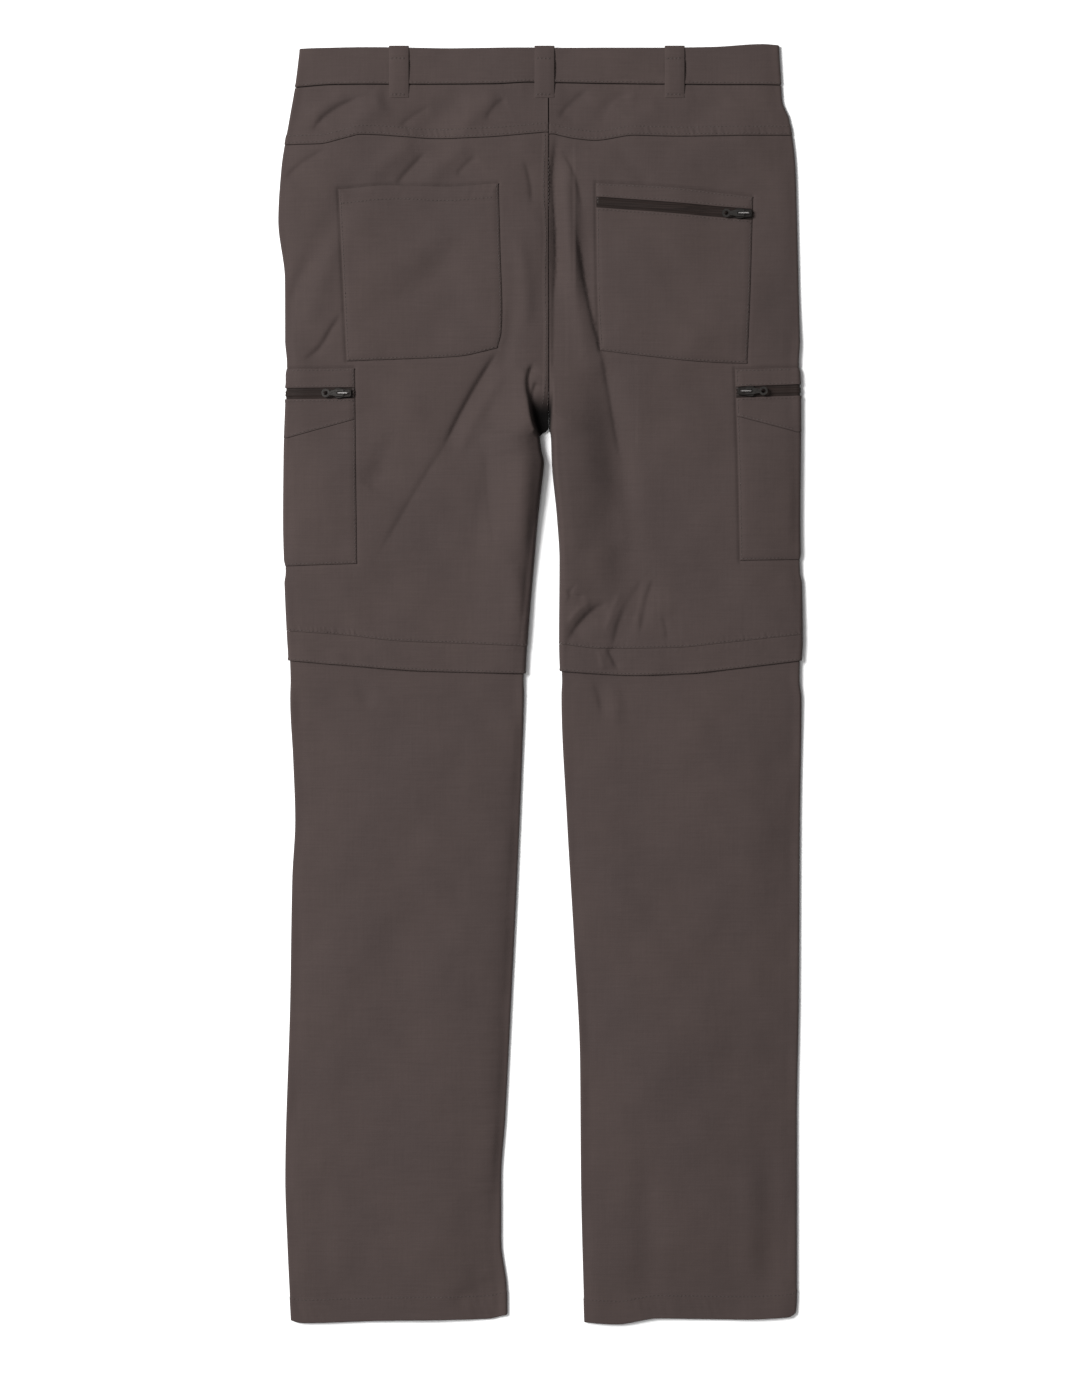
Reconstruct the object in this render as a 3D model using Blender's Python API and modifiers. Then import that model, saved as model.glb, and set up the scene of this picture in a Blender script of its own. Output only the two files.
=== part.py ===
"""Cargo trousers with zip-off legs, laid flat with the back up.

Lengths in the tables and functions are millimetres. "down" runs from the waist to the hem and "x" runs
from the wearer's left side to the right side. Each leg is a flattened tube: a back layer lies over a front
layer, and both turn into a round fold at the sides, where a seam parts them. metres() turns a point into
the part's own frame: +X to the right, +Y towards the waist, +Z up, origin under the middle of the box.
"""

import math
from collections import namedtuple

import bmesh
import bpy
import numpy as np
from mathutils import Matrix, Vector

# Driving sizes
LENGTH = 1082.0  # waist to hem
BOX_MIDDLE_X = -0.4  # middle of the widest places, left and right
CENTRE_SEAM_X = 6.6
CROTCH_DOWN = 330.0
INSEAMS_PART_DOWN = 306.0  # above this the two legs meet at the centre seam
CROTCH_TURN = (298.0, 333.0)  # the flat centre seam turns into the inner legs' folds between these
WALL = 1.2  # one layer of cloth with its seam allowance
BAND_WALL = 1.8  # the waistband is folded double
TAPE_WALL = 1.0
SEAM_GAP = 0.3
LAP_GAP = 0.35  # between a panel and what lies on it
LAP = LAP_GAP + WALL
LEG_RADIUS = 2.4  # side folds: half the height of a leg as it lies
BAND_RADIUS = 2.7
FLAP_RADIUS = LEG_RADIUS + LAP
LOWER_RADIUS = LEG_RADIUS - 0.05
FLAP_SWELL = (478.0, 496.0)  # the leg widens here to take the lower leg inside it
POCKET_RAMP_TOP = (250.0, 270.0)  # the cloth rises onto the side pockets between these
POCKET_RAMP_BOTTOM = (446.0, 456.0)
POCKET_RAMP_INSET = (71.0, 79.0)
LOWER_RAMP = (536.0, 548.0)  # the lower leg comes down to the floor below the flap
FLAP_CLEAR = (534.0, 550.0)  # and spreads to its own width
FOLD_ANGLES = (0.0, 8.0, 36.0, 63.0, 90.0)

# Colours, linear
CLOTH_COLOUR = (0.080, 0.062, 0.058, 1.0)
TAPE_COLOUR = (0.038, 0.027, 0.025, 1.0)
METAL_COLOUR = (0.060, 0.058, 0.056, 1.0)

# Outline tables: (down, x)
SIDE_LEFT = (
    (0, -203.6), (35, -207.9), (64, -212.9), (106, -219.7), (149, -222.2), (199, -216.6), (284, -216.3),
    (343, -218.0), (402, -218.5), (470, -216.3), (525, -213.6), (545, -213.0),
)
SIDE_RIGHT = (
    (0, 201.1), (35, 203.2), (47, 203.8), (64, 210.0), (106, 215.3), (149, 216.5), (250, 218.9),
    (309, 220.3), (402, 219.7), (504, 221.4), (525, 220.2), (545, 220.0),
)
INSEAM_LEFT = (
    (300, 4.0), (329, -1.5), (343, 0.0), (353, 2.1), (375, 0.0), (402, -3.0), (436, -5.9), (504, -11.5),
    (545, -13.6),
)
INSEAM_RIGHT = ((300, 8.0), (329, 8.4), (353, 9.1), (402, 13.6), (436, 15.6), (504, 15.2), (545, 16.6))
LOWER_SIDE_LEFT = (
    (495, -211.9), (554, -212.1), (605, -209.6), (656, -207.9), (706, -210.4), (808, -212.1),
    (960, -216.3), (1011, -214.6), (1082, -211.2),
)
LOWER_SIDE_RIGHT = (
    (495, 218.0), (530, 218.2), (554, 220.3), (656, 218.9), (808, 218.0), (909, 216.3), (1053, 216.3),
    (1082, 214.6),
)
LOWER_INSEAM_LEFT = (
    (495, -13.6), (554, -14.4), (605, -16.1), (706, -20.3), (808, -25.3), (909, -30.4), (960, -33.8),
    (1011, -33.8), (1053, -29.0), (1082, -28.7),
)
LOWER_INSEAM_RIGHT = (
    (495, 17.2), (554, 17.3), (656, 22.0), (757, 27.9), (859, 33.0), (960, 33.8), (1082, 36.8),
)

# Seams and edges across the cloth: (x, down)
WAIST_TOP = (
    (-205, 3.8), (-146, 2.6), (-73, 3.4), (-10, 3.0), (68, 3.2), (145, 2.4), (189, 0.0), (201, 0.8),
)
WAIST_SEAM = ((-208, 36.5), (-174, 34.2), (-41, 33.7), (-6, 32.2), (53, 33.4), (204, 34.5))
YOKE_SEAM = {
    -1: ((-215, 85), (-187, 84.6), (-166, 80), (-151, 76.8), (-80, 80.2), (-49, 79.2), (4, 74.8)),
    1: ((11, 76.3), (30, 80.3), (46, 81.6), (79, 77.6), (116, 78.2), (213, 77)),
}
FLAP_SEAM = {
    -1: ((-215, 496), (-166, 499.5), (-120, 504.5), (-57, 507), (-13, 509)),
    1: ((16, 507), (53, 511), (116, 510), (147, 507), (221, 499)),
}
FLAP_EDGE = {
    -1: ((-213, 521), (-166, 525), (-96, 530), (-13, 532)),
    1: ((16, 530), (77, 533.5), (123, 532), (162, 528), (220, 521)),
}
HEM = {
    -1: ((-211, 1079), (-203, 1081), (-135, 1079), (-45, 1077.5), (-29, 1074)),
    1: ((37, 1080.5), (64, 1082), (99, 1077), (171, 1078), (210, 1076), (215, 1073)),
}

# Patch pockets: convex outlines of (x, down). The right one is in three parts, with a zip across it.
LEFT_POCKET = (
    (-171, 123), (-122, 119.3), (-36, 118), (-33, 225), (-33.6, 243), (-37, 257), (-70, 264), (-109, 266),
    (-164, 268),
)
RIGHT_POCKET_TOP = ((46.5, 117.5), (86, 119.2), (128, 122.8), (179, 129))
RIGHT_POCKET_BOTTOM = ((174, 270), (135, 268.5), (86, 263.5), (50, 259))
RIGHT_ZIP_TOP = ((46.9, 129.5), (178.5, 139.8))
RIGHT_ZIP_BOTTOM = ((47.1, 138.2), (178.2, 148.6))

# Side pockets: how far each seam lies down the leg at the side fold and at the pocket's inner edge
CargoSeam = namedtuple("CargoSeam", "at_side at_inner")
CARGO_SEAMS = {
    -1: {
        "top": CargoSeam(274.5, 274.0),
        "zip_top": CargoSeam(291.0, 290.5),
        "zip_bottom": CargoSeam(300.0, 299.5),
        "slant": CargoSeam(333.0, 317.0),
        "bottom": CargoSeam(441.0, 439.0),
    },
    1: {
        "top": CargoSeam(273.5, 274.8),
        "zip_top": CargoSeam(287.8, 290.0),
        "zip_bottom": CargoSeam(297.0, 299.0),
        "slant": CargoSeam(328.0, 314.5),
        "bottom": CargoSeam(435.5, 436.5),
    },
}
CARGO_INNER_X = {-1: ((274, -157.5), (439, -155.5)), 1: ((274, 164.0), (339, 166.0), (437, 168.0))}

BELT_LOOPS = {"left": (-128.5, -111.5), "centre": (-5.5, 11.5), "right": (104.5, 121.5)}
LOOP_BOTTOM = 45.5
LOOP_WALL = 1.4

# Main folds of the back layer. Each runs from (x0, down0) by (x1, down1) to (x2, down2).
# width is its half width, and height is above the cloth, or below it where negative.
Fold = namedtuple("Fold", "x0 down0 x1 down1 x2 down2 width height")
FOLDS = (
    Fold(-34, 272, -60, 318, -86, 362, 15, -1.3),
    Fold(-12, 318, -40, 350, -70, 400, 16, 0.9),
    Fold(50, 268, 61, 318, 71, 402, 13, -1.5),
    Fold(73, 410, 76, 450, 84, 490, 22, -0.8),
    Fold(32, 300, 40, 350, 48, 420, 14, 1.0),
    Fold(12, 84, 11, 145, 12, 215, 8, -1.5),
    Fold(19, 92, 25, 160, 32, 235, 9, 1.1),
    Fold(24, 104, 35, 165, 40, 232, 8, -1.0),
    Fold(-12, 274, -14, 290, -9, 322, 8, 1.2),
    Fold(24, 499, 34, 490, 46, 482, 7, -0.8),
    Fold(64, 498, 76, 486, 90, 472, 8, -0.8),
    Fold(-147, 377, -138, 365, -128, 352, 12, -0.7),
)
LOWER_FOLDS = (
    Fold(-170, 560, -150, 700, -165, 860, 26, 0.7),
    Fold(-75, 620, -70, 780, -80, 980, 30, 0.6),
    Fold(80, 545, 90, 640, 84, 760, 22, -0.7),
    Fold(182, 940, 188, 1000, 184, 1070, 14, -0.8),
    Fold(96, 930, 88, 1000, 98, 1066, 14, -0.7),
    Fold(-62, 1030, -50, 1050, -42, 1066, 9, -0.7),
)
HIGHEST_RIDGE = 1.35
DEEPEST_TROUGH = -1.8
FOLD_END_HEIGHT = 0.15  # share of a fold's height that is left at its two ends
FOLD_MARGIN = (3.0, 16.0)  # the folds fade out this near to a side fold

# The hollow over the crotch seams
HOLLOW_MIDDLE = (0.5, 306.0)
HOLLOW_SIZE = (9.0, 24.0)
HOLLOW_DEPTH = 0.85  # share of the fold's height

# Zip sliders and pulls, in a frame with +X towards the pull's ring and +Z away from the cloth
Zip = namedtuple("Zip", "x down heading")
ZIPS = {"back": Zip(171.0, 143.3, -1), "left": Zip(-167.0, 295.3, -1), "right": Zip(173.0, 293.6, 1)}
SLIDER_HALF_LENGTH = 7.0
SLIDER_HEIGHT = 2.2
SLIDER_SHOULDER = 4.4
BAIL_RADIUS = 0.65
BAIL_TOP = 4.6
BAIL_FOOT = 4.2
PIVOT_HEIGHT = 3.05
PULL_HALF_THICK = 0.45
PULL_HALF_WIDTH = 2.7
SLOT_HALF_WIDTH = 1.35
SLOT_END = 5.4
RING_CENTRE = 14.6
RING_RADIUS = 3.6
RING_HOLE = 1.9


def metres(x, down, z):
    return ((x - BOX_MIDDLE_X) / 1000, (LENGTH / 2 - down) / 1000, z / 1000)


def smooth(value, low, high):
    """0 below low, 1 above high, and an even rise between."""
    share = np.clip((np.asarray(value, float) - low) / (high - low), 0.0, 1.0)
    return share * share * (3 - 2 * share)


def along(table, value):
    """A smooth curve through a table's rows, flat past its ends and never past its neighbours."""
    at, height = np.array(table, float).T
    slope = np.diff(height) / np.diff(at)
    tangent = np.zeros(len(at))
    product, total = slope[:-1] * slope[1:], slope[:-1] + slope[1:]
    same_way = product > 0
    tangent[1:-1][same_way] = 2 * product[same_way] / total[same_way]
    tangent[0], tangent[-1] = slope[0], slope[-1]
    value = np.clip(np.asarray(value, float), at[0], at[-1])
    i = np.clip(np.searchsorted(at, value, side="right") - 1, 0, len(at) - 2)
    span = at[i + 1] - at[i]
    t = (value - at[i]) / span
    return (
        (1 + 2 * t) * (1 - t) ** 2 * height[i]
        + t * (1 - t) ** 2 * span * tangent[i]
        + t * t * (3 - 2 * t) * height[i + 1]
        - t * t * (1 - t) * span * tangent[i + 1]
    )


def fold_height(x, down, folds):
    """The sum of the folds at each point: a soft bank across each path, fading out at its ends."""
    x, down = np.broadcast_arrays(np.asarray(x, float), np.asarray(down, float))
    total = np.zeros(x.shape)
    t = np.linspace(0, 1, 25)
    for fold in folds:
        path_x = (1 - t) ** 2 * fold.x0 + 2 * t * (1 - t) * fold.x1 + t * t * fold.x2
        path_down = (1 - t) ** 2 * fold.down0 + 2 * t * (1 - t) * fold.down1 + t * t * fold.down2
        off = np.hypot(x[..., None] - path_x, down[..., None] - path_down)
        nearest = off.argmin(axis=-1)
        place = t[nearest]
        fade = smooth(place, 0, 0.3) * smooth(1 - place, 0, 0.3)
        share = FOLD_END_HEIGHT + (1 - FOLD_END_HEIGHT) * fade
        total += fold.height * share * np.exp(-((off.min(axis=-1) / fold.width) ** 2))
    return np.clip(total, DEEPEST_TROUGH, HIGHEST_RIDGE)


def pocket_cover(down):
    """1 beside the side pockets, 0 above and below them."""
    return smooth(down, *POCKET_RAMP_TOP) * (1 - smooth(down, *POCKET_RAMP_BOTTOM))


# An edge of a flattened tube: x(down), and fold(down), which is 1 where the cloth turns under in a
# round fold and 0 where it runs on flat to a seam.
Edge = namedtuple("Edge", "x fold")


def always(_down):
    return 1.0


def never(_down):
    return 0.0


def upper_side(side):
    table = SIDE_LEFT if side < 0 else SIDE_RIGHT
    return Edge(lambda down: along(table, down) - side * LAP * pocket_cover(down), always)


def crotch_fold(down):
    return float(smooth(down, *CROTCH_TURN))


def upper_inner(side):
    table = INSEAM_LEFT if side < 0 else INSEAM_RIGHT

    def x(down):
        share = smooth(down, INSEAMS_PART_DOWN, CROTCH_DOWN)
        return (1 - share) * (CENTRE_SEAM_X + side * SEAM_GAP / 2) + share * along(table, down)

    return Edge(x, crotch_fold)


def centre_edge(side):
    return Edge(lambda _down: CENTRE_SEAM_X + side * SEAM_GAP / 2, never)


def lower_edges(side):
    """The lower leg's edges, which stay inside the flap as far as it reaches."""
    outer, inner = (
        (LOWER_SIDE_LEFT, LOWER_INSEAM_LEFT) if side < 0 else (LOWER_SIDE_RIGHT, LOWER_INSEAM_RIGHT)
    )
    flap_outer, flap_inner = upper_side(side), upper_inner(side)

    def eased(flap, table, inwards):
        def x(down):
            share = smooth(down, *FLAP_CLEAR)
            return (1 - share) * (flap.x(down) + inwards * (LAP + 0.05)) + share * along(table, down)

        return Edge(x, always)

    return eased(flap_outer, outer, -side), eased(flap_inner, inner, side)


# A tube: radius(down), lift(x, down, left, right) of its underside, and the folds of its back layer
Tube = namedtuple("Tube", "radius lift folds hollow")


def upper_radius(down):
    return LEG_RADIUS + (FLAP_RADIUS - LEG_RADIUS) * float(smooth(down, *FLAP_SWELL))


def upper_lift(x, down, _left, _right):
    """The front layer rises over the parts of the side pockets that lie under it."""
    inset = np.minimum(x - along(SIDE_LEFT, down), along(SIDE_RIGHT, down) - x)
    return LAP * pocket_cover(down) * (1 - smooth(inset, *POCKET_RAMP_INSET))


def lower_lift(_x, down, _left, _right):
    return LAP * (1 - smooth(down, *LOWER_RAMP))


def flat_lift(_x, _down, _left, _right):
    return 0.0


UPPER = Tube(upper_radius, upper_lift, FOLDS, True)
LOWER = Tube(lambda _down: LOWER_RADIUS, lower_lift, LOWER_FOLDS, False)
BAND = Tube(lambda _down: BAND_RADIUS, flat_lift, (), False)

FLAT_STEP = 2.0  # between columns beside a flat seam
TURN_SPREAD = 1.1  # keeps the two layers apart where the flat seam turns into the fold


def fold_inset(radius, angle):
    """How far in from the fold's tip a point lies. The first few degrees stand upright, so that the two
    layers' walls end face to face at the side seam."""
    upright = FOLD_ANGLES[1]
    return radius * (1 - math.cos(math.radians(max(0.0, angle - upright) * 90 / (90 - upright))))


def hollow_share(x, down):
    across = (x - HOLLOW_MIDDLE[0]) / HOLLOW_SIZE[0]
    length = (down - HOLLOW_MIDDLE[1]) / HOLLOW_SIZE[1]
    return HOLLOW_DEPTH * math.exp(-(across**2)) * math.exp(-(length**2)) * (1 - crotch_fold(down))


def tube_point(tube, edges, down, column, front):
    """A point of the tube's outer face. column is (end, angle, inset) beside an edge, or a share of the
    flat stretch between. end is 0 for the left edge and 1 for the right one. An angle runs from 0, at the
    middle of the fold, to 90 where the flat cloth starts, and inset is measured on from there."""
    radius = tube.radius(down)
    xs = [edge.x(down) for edge in edges]
    folds = [edge.fold(down) for edge in edges]
    starts = [fold * radius + (1 - fold) * FLAT_STEP * (len(FOLD_ANGLES) - 1) for fold in folds]
    height = radius
    if isinstance(column, tuple):
        end, angle, inset = column
        fold = folds[end]
        turned = 90 - fold * (90 - angle)
        flat = FLAT_STEP * FOLD_ANGLES.index(angle)
        in_from_edge = fold * fold_inset(radius, turned) + (1 - fold) * flat
        if inset:
            in_from_edge = starts[end] + inset
        x = xs[end] + (in_from_edge if end == 0 else -in_from_edge)
        spread = TURN_SPREAD * 4 * fold * (1 - fold)
        height = min(radius, max(radius * math.sin(math.radians(turned)), SEAM_GAP / 2) + spread)
    else:
        low, high, share = column
        x = xs[0] + starts[0] + low + share * (xs[1] - xs[0] - starts[0] - starts[1] - low - high)
    lift = float(tube.lift(x, down, *xs))
    if front:
        return x, down, lift + radius - height
    if tube.hollow:
        height *= 1 - hollow_share(x, down)
    inside = [abs(x - at) for at, fold in zip(xs, folds) if fold > 0.5] or [1000.0]
    mask = float(smooth(min(inside), *FOLD_MARGIN))
    return x, down, lift + radius + height + mask * float(fold_height(x, down, tube.folds))


def columns(left_insets, shares, right_insets):
    """Columns from the left edge to the right one."""
    left = [(0, angle, 0.0) for angle in FOLD_ANGLES] + [(0, 90.0, inset) for inset in left_insets]
    right = [(1, 90.0, inset) for inset in reversed(right_insets)]
    right += [(1, angle, 0.0) for angle in reversed(FOLD_ANGLES)]
    low = left_insets[-1] if left_insets else 0.0
    high = right_insets[-1] if right_insets else 0.0
    middle = [[low, high, share] for share in shares]
    return left + middle + right


def rows_between(top, bottom, inner_rows, blend=40.0):
    """Rows as functions of x: the first follows top(x), the last bottom(x), and those between ease over."""
    top_mean, bottom_mean = top(None), bottom(None)
    blend = min(blend, bottom_mean - top_mean)

    def row(level):
        near_top = max(0.0, 1 - (level - top_mean) / blend)
        near_bottom = max(0.0, 1 - (bottom_mean - level) / blend)
        return lambda x: (
            level + near_top * (float(top(x)) - top_mean) + near_bottom * (float(bottom(x)) - bottom_mean)
        )

    return [row(level) for level in (top_mean, *inner_rows, bottom_mean)]


def seam(table, gap=0.0):
    """An edge across the cloth, as a function of x. With no x it gives its middle height."""
    mean = float(np.mean([row[1] for row in table]))
    return lambda x: (mean if x is None else along(table, x)) + gap


def moved(edge, by):
    return lambda x: edge(x) + by


def tube_rows(tube, edges, rows, cols, front=False):
    """The grid of points of a panel, a list for each row."""
    grid = []
    for row in rows:
        line = []
        for column in cols:
            down = row(0.0)
            for _ in range(3):
                x = tube_point(tube, edges, down, column, front)[0]
                down = row(x)
            line.append(tube_point(tube, edges, down, column, front))
        grid.append(line)
    return grid


def material(name, colour, roughness, metallic=0.0):
    made = bpy.data.materials.new(name)
    made.use_nodes = True
    shader = made.node_tree.nodes["Principled BSDF"]
    shader.inputs["Base Color"].default_value = colour
    shader.inputs["Roughness"].default_value = roughness
    shader.inputs["Metallic"].default_value = metallic
    made.diffuse_color = colour
    return made


def add_object(name, data, colour, roughness, metallic=0.0):
    made = bpy.data.objects.new(name, data)
    made.data.materials.append(material(name + "_finish", colour, roughness, metallic))
    PARTS.objects.link(made)
    return made


def keep_inside(mesh, outline):
    """Cuts away what lies outside a convex outline of (x, down) points."""
    middle = Vector(metres(*np.mean(outline, axis=0), 0))
    for i, point in enumerate(outline):
        start, end = Vector(metres(*outline[i - 1], 0)), Vector(metres(*point, 0))
        outward = (end - start).cross(Vector((0, 0, 1)))
        if outward.dot(middle - start) > 0:
            outward.negate()
        geometry = mesh.verts[:] + mesh.edges[:] + mesh.faces[:]
        bmesh.ops.bisect_plane(
            mesh, geom=geometry, dist=1e-6, plane_co=start, plane_no=outward, clear_outer=True
        )


def cloth(name, grid, wall, move_out=0.0, facing_down=False, colour=CLOTH_COLOUR, outline=None):
    """A cloth piece: its outer face through the grid's points, cut to an outline if it has one and moved
    out, with Solidify making the wall inwards."""
    mesh = bmesh.new()
    lines = [[mesh.verts.new(metres(*point)) for point in line] for line in grid]
    for upper, lower in zip(lines, lines[1:]):
        for i in range(len(upper) - 1):
            corners = [upper[i], lower[i], lower[i + 1], upper[i + 1]]
            mesh.faces.new(reversed(corners) if facing_down else corners)
    bmesh.ops.triangulate(mesh, faces=mesh.faces[:], quad_method="FIXED")
    if outline:
        keep_inside(mesh, outline)
        bmesh.ops.triangulate(mesh, faces=mesh.faces[:])
    mesh.normal_update()
    if move_out:
        for vert in mesh.verts:
            vert.co += vert.normal * (move_out / 1000)
    data = bpy.data.meshes.new(name)
    mesh.to_mesh(data)
    mesh.free()
    data.shade_smooth()
    made = add_object(name, data, colour, 0.85)
    solidify = made.modifiers.new("Wall", "SOLIDIFY")
    solidify.thickness = wall / 1000
    solidify.offset = -1
    return made


def side_name(side):
    return "left" if side < 0 else "right"


def ordered(side, outer, inner):
    """The two edges of a panel from left to right."""
    return (outer, inner) if side < 0 else (inner, outer)


def waistband():
    edges = (upper_side(-1), upper_side(1))
    across = columns((), (0.04, 0.12, 0.22, 0.32, 0.42, 0.5, 0.58, 0.68, 0.78, 0.88, 0.96), ())
    rows = rows_between(seam(WAIST_TOP), seam(WAIST_SEAM, -SEAM_GAP / 2), (18.0,))
    cloth("waistband_back", tube_rows(BAND, edges, rows, across), BAND_WALL)
    for side in (-1, 1):
        edges = ordered(side, upper_side(side), centre_edge(side))
        across = columns((), (0.2, 0.5, 0.8), ())
        grid = tube_rows(BAND, edges, rows, across, front=True)
        cloth("waistband_front_" + side_name(side), grid, BAND_WALL, facing_down=True)


def belt_loops():
    """Each loop lies on the waistband, steps down over its seam and ends on the yoke."""
    band_top, yoke_top = 2 * BAND_RADIUS, 2 * LEG_RADIUS
    for name, (low, high) in BELT_LOOPS.items():
        grid = []
        for down, height in (
            (1.4, band_top), (6, band_top + 0.3), (18, band_top + 0.7), (30, band_top + 0.3),
            (36, band_top), (40, yoke_top + 0.25), (LOOP_BOTTOM, yoke_top),
        ):
            outer = height + LAP_GAP + LOOP_WALL
            grid.append([(x, down, outer) for x in np.linspace(low, high, 4)])
        cloth("belt_loop_" + name, grid, LOOP_WALL)


def upper_columns(side, front):
    """The columns of an upper leg, which its flap and its yoke share so that their seams meet."""
    insets = (66.0, 76.0) if front else (22.0, 44.0, 66.0, 76.0)
    shares = (0.3, 0.7) if front else (0.14, 0.28, 0.42, 0.55, 0.67, 0.78, 0.89)
    if side < 0:
        return columns(insets, shares, ())
    return columns((), [1 - share for share in reversed(shares)], insets)


def upper_panels():
    """The yokes, backs and fronts. It returns the backs' grids, which the back pockets are cut from."""
    back_rows = (
        100, 122, 146, 172, 198, 224, 250, 270, 288, 304, 316, 326, 336, 350, 372, 400, 428, 446, 456,
        478, 488,
    )
    front_rows = (140, 250, 270, 300, 316, 326, 336, 352, 384, 415, 446, 456, 478, 488)
    half = SEAM_GAP / 2
    back_grids = {}
    for side in (-1, 1):
        edges = ordered(side, upper_side(side), upper_inner(side))
        waist, yoke, flap = (seam(table) for table in (WAIST_SEAM, YOKE_SEAM[side], FLAP_SEAM[side]))
        pieces = (
            ("yoke", moved(waist, half), moved(yoke, -half), (58,), False),
            ("back", moved(yoke, half), moved(flap, -half), back_rows, False),
            ("front", moved(waist, half), moved(flap, -half), front_rows, True),
        )
        for piece, top, bottom, levels, front in pieces:
            rows = rows_between(top, bottom, levels)
            grid = tube_rows(UPPER, edges, rows, upper_columns(side, front), front)
            cloth(f"{piece}_{side_name(side)}", grid, WALL, facing_down=front)
            if piece == "back":
                back_grids[side] = grid
    return back_grids


def flaps_and_lower_legs():
    """The flap hangs on from the upper leg. Under it a plain zip tape joins the lower leg."""
    back_levels = (536, 548, 592, 650, 720, 800, 870, 930, 980, 1030, 1058)
    front_levels = (536, 548, 700, 880)
    for side in (-1, 1):
        flap_top, hem = seam(FLAP_SEAM[side]), seam(HEM[side])
        tape_top, tape_bottom = moved(flap_top, 3.0), moved(flap_top, 15.0)
        for front in (False, True):
            piece = f"{side_name(side)}_{'front' if front else 'back'}"
            edges = ordered(side, upper_side(side), upper_inner(side))
            rows = rows_between(moved(flap_top, SEAM_GAP / 2), seam(FLAP_EDGE[side]), ())
            grid = tube_rows(UPPER, edges, rows, upper_columns(side, front), front)
            cloth("flap_" + piece, grid, WALL, facing_down=front)

            shares = (0.33, 0.67) if front else (0.1, 0.26, 0.42, 0.58, 0.74, 0.9)
            across = columns((), shares, ())
            edges = ordered(side, *lower_edges(side))
            grid = tube_rows(LOWER, edges, rows_between(tape_top, tape_bottom, ()), across, front)
            cloth("legzip_" + piece, grid, TAPE_WALL, facing_down=front, colour=TAPE_COLOUR)

            rows = rows_between(moved(tape_bottom, SEAM_GAP), hem, front_levels if front else back_levels)
            grid = tube_rows(LOWER, edges, rows, across, front)
            cloth("lower_" + piece, grid, WALL, facing_down=front)


def back_point(edges, x, down):
    """The back layer's outer face at a place well inside the outline."""
    xs = [edge.x(down) for edge in edges]
    mask = float(smooth(min(x - xs[0], xs[1] - x), *FOLD_MARGIN))
    height = mask * float(fold_height(x, down, FOLDS))
    return x, down, float(upper_lift(x, down, *xs)) + 2 * LEG_RADIUS + height


def lowered(points, by):
    return [(x, down + by) for x, down in points]


def back_pockets(back_grids):
    """Each patch pocket is cut from its panel's own face and moved out. The right one has a zip across."""
    cloth("pocket_left", back_grids[-1], WALL, LAP, outline=LEFT_POCKET)
    half = SEAM_GAP / 2
    stretches = (
        ("top", [*RIGHT_POCKET_TOP, *reversed(lowered(RIGHT_ZIP_TOP, -half))], WALL, CLOTH_COLOUR),
        (
            "zip",
            [*lowered(RIGHT_ZIP_TOP, half), *reversed(lowered(RIGHT_ZIP_BOTTOM, -half))],
            TAPE_WALL,
            TAPE_COLOUR,
        ),
        ("panel", [*lowered(RIGHT_ZIP_BOTTOM, half), *RIGHT_POCKET_BOTTOM], WALL, CLOTH_COLOUR),
    )
    for name, outline, wall, colour in stretches:
        cloth(
            "pocket_right_" + name, back_grids[1], wall, LAP_GAP + wall, colour=colour, outline=outline
        )


def cargo_pocket(side):
    """A side pocket: it wraps the side fold, from its edge on the back to a like edge on the front."""
    name = "cargo_" + side_name(side)
    seams = CARGO_SEAMS[side]
    side_edge = upper_side(side)
    half = SEAM_GAP / 2
    arc = [*reversed(FOLD_ANGLES[1:]), *[-angle for angle in FOLD_ANGLES[1:]]]
    flats = (1.0, 0.66, 0.33)

    def point(down_at, step, share):
        """step is an angle on the fold, or None with share, how far in the point lies."""
        down = down_at(share)
        edge_x = side_edge.x(down)
        inner_x = float(along(CARGO_INNER_X[side], down))
        flat_width = abs(inner_x - edge_x) - LEG_RADIUS
        if step is None:
            inset = LEG_RADIUS + abs(share) * flat_width
            height = LEG_RADIUS * (1 if share > 0 else -1)
        else:
            inset = fold_inset(LEG_RADIUS, abs(step))
            height = LEG_RADIUS * math.sin(math.radians(step))
        x = edge_x - side * inset
        lift = float(upper_lift(x, down, 0, 0))
        return x, down, lift + LEG_RADIUS + height

    def band(piece, top, bottom, top_gap, bottom_gap, steps, wall, colour):
        grid = []
        for q in np.linspace(0, 1, steps + 1):

            def down_at(share, q=q):
                reach = abs(share)
                upper = seams[top].at_side + reach * (seams[top].at_inner - seams[top].at_side) + top_gap
                lower = (
                    seams[bottom].at_side
                    + reach * (seams[bottom].at_inner - seams[bottom].at_side)
                    - bottom_gap
                )
                return (1 - q) * upper + q * lower

            line = [point(down_at, None, share) for share in flats]
            line += [point(down_at, angle, 0.0) for angle in arc]
            line += [point(down_at, None, -share) for share in reversed(flats)]
            grid.append(line)
        cloth(f"{name}_{piece}", grid, wall, LAP_GAP + wall, facing_down=side < 0, colour=colour)

    band("top", "top", "zip_top", 0.0, half, 1, WALL, CLOTH_COLOUR)
    band("zip", "zip_top", "zip_bottom", half, half, 1, TAPE_WALL, TAPE_COLOUR)
    band("band", "zip_bottom", "slant", half, half, 2, WALL, CLOTH_COLOUR)
    band("panel", "slant", "bottom", half, 0.0, 5, WALL, CLOTH_COLOUR)


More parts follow.
